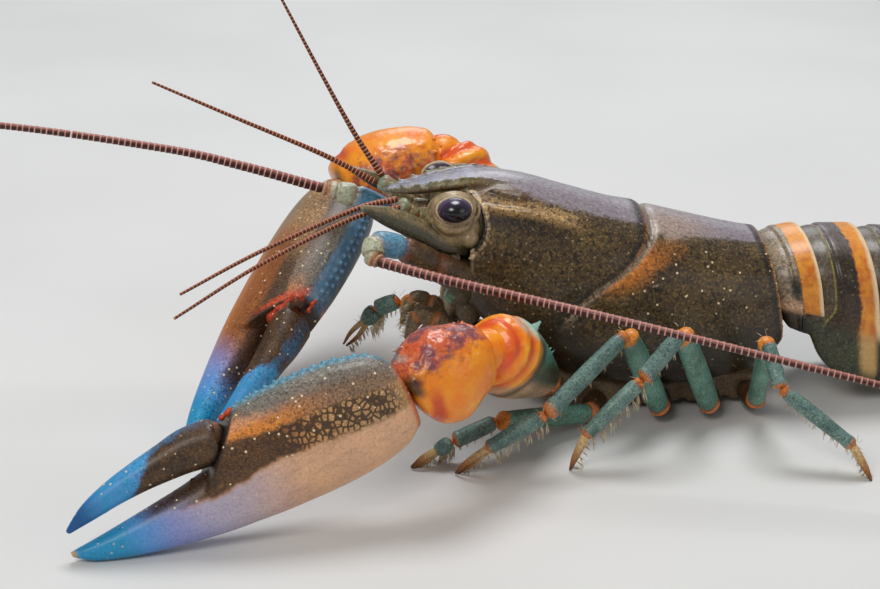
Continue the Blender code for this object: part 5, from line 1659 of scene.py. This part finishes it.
def claw_body(shape, stations, frame_matrix, sides=84, step=0.4):
    """Body of the hand or of a finger from a table of edges and half thickness."""
    first, last = stations[0][0], stations[-1][0]
    count = round((last - first) / step)
    rings = []
    for index in range(count + 1):
        distance = first + (last - first) * index / count
        low, high, thick = curve_at(stations, distance)
        middle, half = (low + high) / 2, (high - low) / 2
        ring = []
        for across, out in round_points(sides, 2 / 2.3):
            ring.append(frame_matrix @ Vector((distance, middle + half * across, thick * out)))
        rings.append(ring)
    add_skin(shape, rings)


def margin_teeth(shape, frame_matrix):
    """Two rows of blunt teeth along the upper edge of the hand, largest at mid length."""
    chance = random.Random(5)
    for index in range(MARGIN_TEETH):
        share = index / (MARGIN_TEETH - 1)
        distance = 1.4 + 18.8 * share
        high = curve_at(PALM_STATIONS, distance)[1]
        size = (0.75 + 0.25 * math.sin(math.pi * share)) * chance.uniform(0.8, 1.1)
        out = 0.35 if index % 2 else -0.35
        root = frame_matrix @ Vector((distance - 0.1, high - 0.5, out))
        tip = frame_matrix @ Vector((distance + 0.35, high + 0.48 * size, out * 1.3))
        add_cone(shape, root, tip, 0.46 * size, 8, 0.2)
        for row, rise in ((1.5, -0.3), (2.4, -0.66)):
            place = frame_matrix @ Vector((distance + 0.3, high + rise, row * size))
            add_ball(shape, place, (0.22 * size,) * 3, 6, 8)


def edge_teeth(shape, frame_matrix, rows):
    """Low blunt teeth on a cutting edge, from rows of distance, edge height, direction and size."""
    for distance, edge, way, size in rows:
        root = frame_matrix @ Vector((distance, edge - way * 0.5, 0.0))
        tip = frame_matrix @ Vector((distance, edge + way * 0.45 * size, 0.0))
        add_cone(shape, root, tip, 0.6 * size, 10, 0.25)


def hinge_gap(distance, across):
    """How far a place lies beyond the slanting hinge line, along the claw."""
    return distance - (HINGE_TOP[0] + (HINGE_TOP[1] - across) * 0.88)


def hand_paint(local, far):
    """Blue toothed edge, grey-brown and tan back, dark net, peach lower half and a blue finger."""
    distance, across, out = local
    high = curve_at(PALM_STATIONS, distance)[1]
    blotch = cloud(local, 4.0)
    fine = cloud(local, 1.4, 3.0)
    hinge_side = ease(6.0, 19.0, distance)
    tan = mix(tone(148, 116, 88), tone(214, 126, 44), hinge_side)
    if far:
        outer = ease(10.0, 22.0, distance) * ease(4.0, -2.0, across)
        tan = mix(tone(122, 104, 88), tone(176, 106, 48), outer)
    net_top = curve_at(NET_TOP, distance)[0] + 0.3 * fine
    net_low = curve_at(NET_LOW, distance)[0] + 0.3 * fine - (1.4 if far else 0.0)
    colour = mix(tone(120, 100, 84), tone(92, 76, 64), 0.5 + 0.6 * blotch)
    colour = mix(colour, tan, ease(net_top + 3.0, net_top + 0.8, across) * (0.5 + 0.5 * hinge_side))
    colour = mix(colour, mix(tan, tone(196, 150, 98), 0.6), ease(net_top + 0.3, net_top - 0.3, across))
    in_net = ease(net_top + 0.4, net_top - 0.4, across) * ease(net_low - 0.5, net_low + 0.5, across)
    colour = mix(colour, mix(NET_BROWN, BARK, 0.4 + 0.4 * fine), ease(12.0, 18.0, distance) * in_net * 0.92)
    lower = mix(tone(226, 174, 134), tone(206, 160, 130), 0.5 + 0.6 * blotch)
    streak = cloud((distance * 0.25, across * 1.6, out), 1.0, 2.0)
    lower = mix(lower, tone(176, 136, 112), ease(0.1, 0.8, streak) * 0.4)
    lower = mix(lower, tone(176, 166, 184), ease(15.0, 27.0, distance))
    if far:
        lower = mix(tone(150, 124, 98), tone(186, 114, 56), ease(8.0, 20.0, distance))
    colour = mix(colour, lower, ease(net_low + 0.35, net_low - 0.55, across))
    if far:
        strip = band(across, -2.6, 2.4, 0.9) * ease(8.0, 15.0, distance) * ease(37.0, 32.0, distance)
        colour = mix(colour, tone(150, 86, 36), strip * 0.85)
        in_net *= 0.3
    hinge = hinge_gap(distance, across)
    inner = ease(1.2, 2.6, across) * ease(28.5, 27.0, distance)
    glow = (ease(-5.0, -0.8, hinge) * inner * ease(high - 0.8, high - 2.2, across)
            * ease(net_top - 0.6, net_top + 0.4, across))
    colour = mix(colour, tone(218, 126, 38), glow * 0.8)
    if far:
        colour = mix(colour, tone(196, 72, 26), ease(-2.2, -1.0, hinge + 0.5 * fine) * inner)
    colour = mix(colour, tone(48, 22, 12), ease(-0.5, -0.2, hinge) * inner)
    colour = mix(colour, LAVENDER, ease(27.5, 34.5, distance + 0.5 * (net_low - across)))
    colour = mix(colour, SKY, ease(32.0, 37.0, distance))
    colour = mix(colour, TURQUOISE, ease(36.0, 40.0, distance))
    dark_edge = ease(0.9, 2.0, across + 0.12 * (distance - 26)) * band(distance, 25.0, 35.5, 2.0)
    colour = mix(colour, tone(62, 42, 26), dark_edge * 0.9)
    colour = mix(colour, tone(206, 168, 112), ease(44.4, 45.3, distance))
    reach = high - (0.8 if far else 0.3)
    margin = ease(reach, reach + 0.6, across) * ease(22.5, 20.0, distance)
    beside = ease(reach - 2.2, reach, across) * 0.45 * ease(24.0, 18.0, distance)
    colour = mix(colour, tone(122, 128, 122), beside)
    blue = mix(tone(112, 150, 176), tone(82, 128, 164), 0.5 + 0.7 * fine) if far else tone(70, 150, 180)
    colour = mix(colour, blue, margin * 0.92)
    colour = mix(colour, tone(186, 70, 28), ease(1.0, 0.2, distance) * 0.7)
    net = in_net * ease(0.5, 3.0, distance) * ease(21.0, 15.0, distance) * 0.9
    dots = (0.4 + 0.6 * ease(net_low - 1.0, net_low + 0.6, across)) * (1 - margin)
    specks = (0.2 + 0.5 * ease(net_low, net_low + 1.0, across)) * (1 - 0.7 * margin)
    return colour, (specks, net, dots)


def dactyl_paint(local, far):
    """Brown finger with a blue outer edge that widens to a wholly blue tip, and a red hinge."""
    distance, across, _ = local
    fine = cloud(local, 1.4, 5.0)
    edge = curve_at(DACTYL_PATH, distance)[0]
    colour = mix(tone(88, 60, 32), tone(58, 40, 24), 0.5 + 0.7 * fine)
    blue = mix(SKY, TURQUOISE, 0.5 + 0.5 * fine)
    broad = curve_at([(row[0], size) for row, size in zip(DACTYL_PATH, DACTYL_BROAD[1:])], distance)[0]
    start = 0.84 - 1.9 * ease(31.0, 37.0, distance)
    colour = mix(colour, blue, ease(start, start + 0.45, (across - edge) / broad + 0.1 * fine))
    colour = mix(colour, blue, ease(34.5, 38.0, distance))
    colour = mix(colour, DEEP_BLUE, ease(38.5, 43.0, distance))
    hinge = hinge_gap(distance, across)
    colour = mix(colour, SOOT, ease(1.1, 0.3, hinge))
    reach = 3.0 if far else 7.2
    red = ease(reach, reach + 0.8, across) * ease(1.8, 0.6, hinge + 0.5 * fine)
    colour = mix(colour, tone(196, 64, 24), red)
    return colour, (0.6 * ease(38.0, 32.0, distance) + 0.1, 0.0, 0.8)


def make_claw(name, base, tip, axes, scale, slim, before):
    """Hand with its fixed finger, and the movable finger, parted along the slanting hinge."""
    frame_matrix = claw_frame(base, axes, scale, slim)
    inverse = frame_matrix.inverted()
    along, _, out = axes
    hinge_top, hinge_bottom = (frame_matrix @ Vector((*place, 0)) for place in (HINGE_TOP, HINGE_BOTTOM))
    hinge_middle = (hinge_top + hinge_bottom) / 2
    hinge_normal = out.cross(hinge_bottom - hinge_top).normalized()
    if hinge_normal.dot(along) < 0:
        hinge_normal = -hinge_normal
    shape = new_shape()
    claw_body(shape, PALM_STATIONS, frame_matrix)
    cut_flat(shape, hinge_middle, hinge_normal)
    cut_flat(shape, Vector(base), -joint_normal(before, base, tip))
    claw_body(shape, FINGER_STATIONS, frame_matrix)
    margin_teeth(shape, frame_matrix)
    edge_teeth(shape, frame_matrix, FIXED_TEETH)
    far = name == "right"
    hand = fuse(shape, CLAW_VOXEL, 2, lambda point: hand_paint(inverse @ point, far))
    finish_piece(f"cheliped_hand_{name}", hand, CLAW_SHELL, "claw", [f"cheliped_propodus_{name}"])
    shape = new_shape()
    path = [hinge_middle] + [frame_matrix @ Vector((*point, 0)) for point in DACTYL_PATH]
    sizes = [(thick * scale, broad * scale * slim) for thick, broad in zip(DACTYL_THICK, DACTYL_BROAD)]
    sweep(shape, path, sizes, out, steps=70, sides=48, rounds=(0.8, 0.3))
    edge_teeth(shape, frame_matrix, MOVABLE_TEETH)
    knobs = list(HINGE_KNOBS)
    if far:
        knobs += [(22.4 + 0.85 * k, 7.3 - 1.1 * k, 2.4 - 0.1 * k, 1.15 - 0.15 * (k % 2)) for k in range(4)]
    for distance, across, side, size in knobs:
        add_ball(shape, frame_matrix @ Vector((distance, across, side)), (size, size, size), 12, 16)
    finger = fuse(shape, 0.18, 2, lambda point: dactyl_paint(inverse @ point, far))
    finish_piece(f"cheliped_finger_{name}", finger, CLAW_SHELL, "claw", [f"cheliped_dactyl_{name}"])


def fold_wave(share):
    """Height of the folds at the far end of the merus, between -1 and 1."""
    return math.sin((share - 0.72) * 2 * math.pi / 0.15)


def merus_paint(point, share, outward):
    """Teal rim and olive upper part, peach underside, then orange folds at the far end, red in their valleys
    partly as painted shade.
    """
    fine = cloud(point, 1.2)
    colour = mix(tone(84, 92, 66), tone(58, 60, 40), 0.5 + 0.7 * fine)
    colour = mix(colour, tone(92, 150, 138), ease(2.6, 4.4, outward))
    colour = mix(colour, PEACH, ease(1.4, -0.6, outward) * ease(0.86, 0.74, share))
    colour = mix(colour, tone(206, 116, 52), ease(-3.0, -4.0, outward) * 0.7)
    colour = mix(colour, tone(66, 62, 34), band(share, 0.6, 0.72, 0.05) * 0.8)
    orange = mix(AMBER, ORANGE, 0.5 + 0.7 * cloud(point, 2.4, 2.0))
    wave = fold_wave(share + 0.02 * cloud(point, 2.5, 6.0))
    # Deep red in the fold valleys: partly their own colour, partly painted shade in the creases.
    orange = mix(orange, tone(222, 70, 20), ease(0.5, -1.0, wave) * ease(0.76, 0.84, share) * 0.85)
    colour = mix(colour, orange, ease(0.66, 0.76, share + 0.02 * fine - 0.1 * ease(0.5, -2.5, outward)))
    colour = mix(colour, tone(150, 206, 196), ease(5.2, 6.2, outward) * 0.9)
    return colour, (0.5 * ease(0.74, 0.62, share) + 0.06, 0.0, 0.1)


def make_merus(name, elbow, wrist, back, thick_way, scale):
    """Third long piece of the arm, with a spine on its outer side and folds at its far end."""
    shape = new_shape()
    path, sizes = along_limb(elbow, wrist, MERUS_ROWS, back, scale)
    sweep(shape, path, sizes, thick_way, steps=60, sides=64, rounds=(1.4, 1.8))
    start, end = Vector(elbow), Vector(wrist)
    spine_root = start.lerp(end, MERUS_SPINE_SHARE) + back * MERUS_SPINE_ROOT * scale
    add_cone(shape, spine_root, spine_root + back * MERUS_SPINE_LENGTH * scale, 1.3 * scale, 14)
    for index in range(9):
        place = start.lerp(end, 0.22 + 0.07 * index) + back * (3.9 + 0.12 * index) * scale
        add_cone(shape, place - back * 0.6, place + back * 0.75, 0.42, 8, 0.12)
    add_ball(shape, end, (3.0 * scale,) * 3, 20, 28)

    def rule(point):
        share = share_along(point, start, end)
        return merus_paint(point, share, (point - start.lerp(end, share)).dot(back) / scale)

    def swell(point):
        share = share_along(point, start, end)
        wave = fold_wave(share + 0.02 * cloud(point, 2.5, 6.0))
        return 0.3 * wave * band(share, 0.76, 0.97, 0.03) + 0.04 * cloud(point, 1.2)

    finish_piece(f"cheliped_merus_{name}_limb", fuse(shape, 0.22, 3, rule, swell), ARM_SHELL, "orange",
                 [f"cheliped_merus_{name}"])


def carpus_paint(point, share, toward):
    """Orange, with a rough red and purple top, a dark pit by the claw and a blue-white spine."""
    fine = cloud(point, 1.1)
    colour = mix(ORANGE, AMBER, 0.5 + 0.6 * cloud(point, 3.0, 4.0))
    top = ease(2.2, 4.6, toward + 1.4 * fine)
    rough = mix(tone(196, 92, 66), tone(206, 62, 26), 0.4 + 0.6 * cloud(point, 1.6, 8.0))
    colour = mix(colour, rough, top * 0.85)
    patch = top * ease(0.1, 0.45, cloud(point, 2.6, 6.0) + 0.25)
    colour = mix(colour, PLUM, patch * 0.75)
    colour = mix(colour, tone(196, 48, 12), band(share, 0.84, 0.96, 0.04) * ease(2.0, -1.0, toward) * 0.85)
    colour = mix(colour, tone(214, 150, 92), ease(0.98, 1.04, share) * ease(1.0, -2.0, toward) * 0.7)
    colour = mix(colour, SOOT, ease(0.93, 1.03, share) * band(toward, 0.6, 3.4, 0.7) * 0.9)
    colour = mix(colour, tone(176, 212, 206), ease(0.9, 1.0, share) * ease(4.8, 5.6, toward) * 0.9)
    return colour, (0.35 * top + 0.08, 0.0, 0.25)


def make_carpus(name, wrist, base, elbow, axes, scale):
    """Bulky piece before the claw, with a spine and a rough wrinkled top."""
    shape = new_shape()
    path, sizes = along_limb(wrist, base, CARPUS_ROWS, outer_side(base, wrist, elbow), scale)
    sweep(shape, path, sizes, axes[2], steps=60, sides=72, rounds=(1.6, 1.2))
    start, end = Vector(wrist), Vector(base)
    onward = (end - start).normalized()
    spine_root = start.lerp(end, 0.6) + axes[1] * 5.0 * scale
    add_cone(shape, spine_root, spine_root + onward * 5.0 + axes[1] * 1.6, 1.2, 14)
    chance = random.Random(11)
    for _ in range(80):
        middle = start.lerp(end, chance.uniform(0.1, 0.95))
        turn = chance.uniform(-1.0, 1.0)
        outward = axes[1] * 5.6 * math.cos(turn) + axes[2] * 5.0 * math.sin(turn)
        add_ball(shape, middle + outward * 0.92 * scale, (chance.uniform(0.2, 0.36),) * 3, 6, 8)

    def rule(point):
        share = share_along(point, start, end)
        return carpus_paint(point, share, (point - start.lerp(end, share)).dot(axes[1]) / scale)

    def swell(point):
        share = share_along(point, start, end)
        upper = ease(1.5, 4.5, (point - start.lerp(end, share)).dot(axes[1]) / scale)
        return (0.04 + 0.12 * upper) * cloud(point, 0.9, 3.0) - 0.3 * dip(share, 0.9, 0.05) * (1 - upper)

    finish_piece(f"cheliped_carpus_{name}_limb", fuse(shape, 0.22, 2, rule, swell), ARM_SHELL, "orange",
                 [f"cheliped_carpus_{name}"])


def make_arm(name, side, joints, tip, up, scale, slim):
    """Large limb: ischium, merus with its spine, bulky carpus with its spine, hand and finger."""
    root, elbow, wrist, base = joints
    axes = claw_axes(base, tip, up, side)
    path, sizes = along_limb(root, elbow, ISCHIUM_ROWS, Vector((0, 0, 0)), scale)

    def tint(share, angle, point):
        return mix(tone(112, 100, 74), tone(196, 112, 52), share), (0.8, 0.0, 0.3)

    shape = new_shape()
    sweep(shape, path, sizes, (1, 0, 0), steps=40, sides=40, rounds=(0.8, 1.2), tint=tint,
          relief=lambda share, angle: -0.2 * dip(share, 0.55, 0.05))
    finish_piece(f"cheliped_ischium_{name}_limb", shape, LEG_SHELL, "leg", [f"cheliped_ischium_{name}"])
    back = outer_side(elbow, wrist, base)
    make_merus(name, elbow, wrist, back, bend_normal(elbow, wrist, base), scale)
    make_carpus(name, wrist, base, elbow, axes, scale)
    make_claw(name, base, tip, axes, scale, slim, wrist)


# Walking legs

def hip_tint(share, angle, point):
    """Dark brown bulb at the body."""
    colour = mix(tone(84, 56, 30), tone(48, 34, 22), 0.5 + 0.7 * cloud(point, 1.6))
    return mix(colour, tone(208, 118, 60), ease(0.86, 0.95, share) * 0.8), (0.6, 0.0, 0.2)


def upper_relief(share, angle):
    """A narrow waist where the second joint meets the third, and a cuff at the knee."""
    return 0.16 * dip(share, 0.055, 0.025) - 0.16 * dip(share, 0.1, 0.02) + 0.14 * dip(share, 0.95, 0.03)


def upper_tint(share, angle, point):
    """Teal with an orange cup at the hip and an orange knee."""
    colour = mix(tone(104, 150, 134), tone(66, 104, 92), 0.4 + 0.6 * cloud(point, 2.4))
    colour = mix(colour, tone(140, 160, 130), ease(0.3, 0.6, cloud(point, 1.0, 9.0)) * 0.4)
    colour = mix(colour, tone(206, 122, 66), ease(0.12, 0.075, share))
    colour = mix(colour, tone(150, 74, 36), band(share, 0.085, 0.11, 0.01) * 0.8)
    knee = ease(0.9, 0.96, share + 0.02 * cloud(point, 0.8))
    return mix(colour, tone(222, 132, 44), knee), (0.5, 0.0, 0.15)


def article_relief(share, angle):
    """A narrowed root and a cuff at the far end."""
    return 0.12 * dip(share, 0.93, 0.04) - 0.2 * dip(share, 0.07, 0.03)


def article_tint(share, angle, point):
    """Dark teal with an orange root and an orange cuff."""
    colour = mix(tone(108, 138, 130), tone(66, 94, 90), 0.4 + 0.6 * cloud(point, 2.2))
    colour = mix(colour, tone(212, 118, 44), ease(0.11, 0.05, share))
    colour = mix(colour, tone(122, 50, 26), band(share, 0.07, 0.1, 0.015) * 0.6)
    return mix(colour, tone(196, 118, 62), ease(0.92, 0.97, share)), (0.6, 0.0, 0.2)


def tip_tint(share, angle, point):
    """Cream root and brown horny tip."""
    colour = mix(tone(204, 170, 120), tone(150, 92, 40), ease(0.1, 0.7, share))
    return mix(colour, tone(96, 60, 28), ease(0.6, 1.0, share)), (0.5, 0.0, 0.0)


def add_article(shape, start, end, sizes, thick_way):
    """One smooth leg joint."""
    path = (start, start.lerp(end, 0.45), start.lerp(end, 0.995))
    sweep(shape, path, sizes, thick_way, steps=44, sides=28, rounds=(0.8, 0.6), relief=article_relief,
          tint=article_tint)


def add_pincer(shape, wrist, palm, tip, thick_way):
    """Two small fingers at the end of a leg, a little apart at their middles."""
    along = (tip - palm).normalized()
    spread = along.cross(thick_way).normalized()
    for way in (-1, 1):
        start = palm.lerp(wrist, 0.12) + spread * way * 0.3
        middle = palm.lerp(tip, 0.5) + spread * way * 0.62
        end = tip + spread * way * 0.25
        sweep(shape, (start, middle, end), PINCER_SIZES, thick_way, steps=28, sides=18, rounds=(0.3, 0.15),
              tint=tip_tint)


def leg_bristles(bristles, number, joints, thick_way, slim):
    """Rows of bristles under the last joints of a leg and sparse tufts at its bends."""
    knee, wrist, palm, tip = joints
    chance = bristles.random
    parts = ((knee, wrist, 5, 1.1), (wrist, palm, 10, 2.3), (palm, tip, 6, 1.5))
    for part, (start, end, rows, length) in enumerate(parts):
        along = (end - start).normalized()
        down = along.cross(thick_way).normalized()
        if down.z > 0:
            down = -down
        for index in range(rows):
            share = (index + 0.7) / (rows + 0.4)
            for way in (-0.4, 0.4):
                out = (down + thick_way * way).normalized()
                root = start.lerp(end, share) + out * (1.1 - 0.5 * (part == 2)) * slim
                place = (0.2 * number - 0.36 + 0.06 * part + 0.05 * share, 0.5 + 0.3 * way)
                bristles.tuft(root, out + along * chance.uniform(0.3, 0.9), length, place, 5, 0.075, 0.18)
    for joint in (knee, wrist, palm):
        for _ in range(7):
            way = Vector([chance.uniform(-1, 1) for _ in range(3)]).normalized()
            bristles.tuft(joint + way * 1.05 * slim, way + Vector((0, 0, 0.2)), 0.9, (0.1 * number, 0.9),
                          1, 0.045)


def make_leg(name, number, joints, bristles):
    """Walking leg of several joints. The first two pairs end in a small pincer."""
    root, hip, knee, wrist, palm, tip = (Vector(joint) for joint in joints)
    thick_way = bend_normal(hip, knee, wrist)
    slim = LAST_LEG_SLIM if number == LAST_LEG else 1.0
    shape = new_shape()
    sweep(shape, (root, root.lerp(hip, 0.5), hip), ((1.45, 1.5), (1.6, 1.75), (1.4, 1.45)), thick_way,
          steps=24, sides=32, rounds=(0.6, 0.9), tint=hip_tint)
    upper = [hip.lerp(knee, share) for share in (-0.02, 0.12, 0.3, 0.75, 0.99)]
    upper_sizes = ((1.25, 1.3 * slim), (1.2, 1.6 * slim), (1.1, 1.75 * slim), (1.05, 1.65 * slim),
                   (1.05, 1.25 * slim))
    sweep(shape, upper, upper_sizes, thick_way, steps=60, sides=32, rounds=(0.9, 0.9),
          relief=upper_relief, tint=upper_tint)
    finish_piece(f"leg_{number}_upper_limb_{name}", shape, LEG_SHELL, "leg", [f"leg_{number}_upper_{name}"])
    shape = new_shape()
    add_article(shape, knee, wrist, ((0.95, 1.1 * slim), (1.05, 1.35 * slim), (1.0, 1.3 * slim)), thick_way)
    add_article(shape, wrist, palm, ((0.9, 1.1 * slim), (1.0, 1.35 * slim), (0.8, 0.95)), thick_way)
    if number <= LAST_PINCER_LEG:
        add_pincer(shape, wrist, palm, tip, thick_way)
    else:
        sweep(shape, (palm.lerp(wrist, 0.04), palm.lerp(tip, 0.55), tip),
              ((0.62, 0.66), (0.5, 0.52), (0.16, 0.16)), thick_way, steps=24, sides=20, rounds=(0.4, 0.2),
              tint=tip_tint)
    finish_piece(f"leg_{number}_lower_limb_{name}", shape, LEG_SHELL, "leg", [f"leg_{number}_lower_{name}"])
    leg_bristles(bristles, number, (knee, wrist, palm, tip), thick_way, slim)


# Stage

def make_stage():
    """Pale floor, soft lights and the camera."""
    shape = bmesh.new()
    bmesh.ops.create_grid(shape, x_segments=2, y_segments=2, size=FLOOR_REACH)
    floor = as_object("floor", shape)
    floor.data.materials.append(floor_finish())
    world = bpy.data.worlds.new("studio")
    world.use_nodes = True
    world.node_tree.nodes["Background"].inputs["Color"].default_value = WORLD_COLOUR
    world.node_tree.nodes["Background"].inputs["Strength"].default_value = WORLD_STRENGTH
    bpy.context.scene.world = world
    for name, place, size, power, colour in LIGHTS:
        data = bpy.data.lights.new(name, "AREA")
        data.shape = "DISK"
        data.size = size
        data.energy = power
        data.color = colour
        lamp = bpy.data.objects.new(name, data)
        lamp.location = place
        lamp.rotation_euler = (Vector(LIT_PLACE) - Vector(place)).to_track_quat("-Z", "Y").to_euler()
        bpy.context.scene.collection.objects.link(lamp)
    data = bpy.data.cameras.new("camera")
    data.lens = FOCAL_LENGTH
    data.sensor_width = 36.0
    data.clip_start = 0.001
    camera = bpy.data.objects.new("camera", data)
    turn, rise = math.radians(CAMERA_TURN), math.radians(CAMERA_RISE)
    ahead = Vector((math.sin(turn) * math.cos(rise), math.cos(turn) * math.cos(rise), -math.sin(rise)))
    camera.location = (Vector(CAMERA_TARGET) + MIDDLE - ahead * CAMERA_DISTANCE) * MM
    camera.rotation_euler = ahead.to_track_quat("-Z", "Y").to_euler()
    bpy.context.scene.collection.objects.link(camera)
    bpy.context.scene.camera = camera
    bpy.context.scene.view_settings.view_transform = "Standard"


# The whole animal

make_stage()
make_carapace()
make_mouth_field()
make_underside()
make_abdomen()
make_tail_fan()
make_antenna("left", LEFT_PEDUNCLE, LEFT_FLAGELLUM)
make_antenna("right", RIGHT_PEDUNCLE, RIGHT_FLAGELLUM)
make_antennule("left", -1, *LEFT_ANTENNULE)
make_antennule("right", 1, *RIGHT_ANTENNULE)
mouth_bristles = Bristles("mouth_bristles", "belly")
for side_name, side_way in SIDES:
    make_eye(side_name, side_way)
    make_antennal_scale(side_name, side_way)
    make_maxilliped(side_name, side_way, mouth_bristles)
mouth_bristles.finish()
make_arm("left", -1, LEFT_ARM, LEFT_CLAW_TIP, LEFT_CLAW_UP, 1.0, 1.0)
make_arm("right", 1, RIGHT_ARM, RIGHT_CLAW_TIP, RIGHT_CLAW_UP, RIGHT_CLAW_SCALE, RIGHT_CLAW_SLIM)
for side_name, legs in (("left", LEFT_LEGS), ("right", RIGHT_LEGS)):
    leg_hair = Bristles(f"leg_bristles_{side_name}", "leg")
    for leg_index, leg_joints in enumerate(legs):
        make_leg(side_name, leg_index + 2, leg_joints, leg_hair)
    leg_hair.finish()
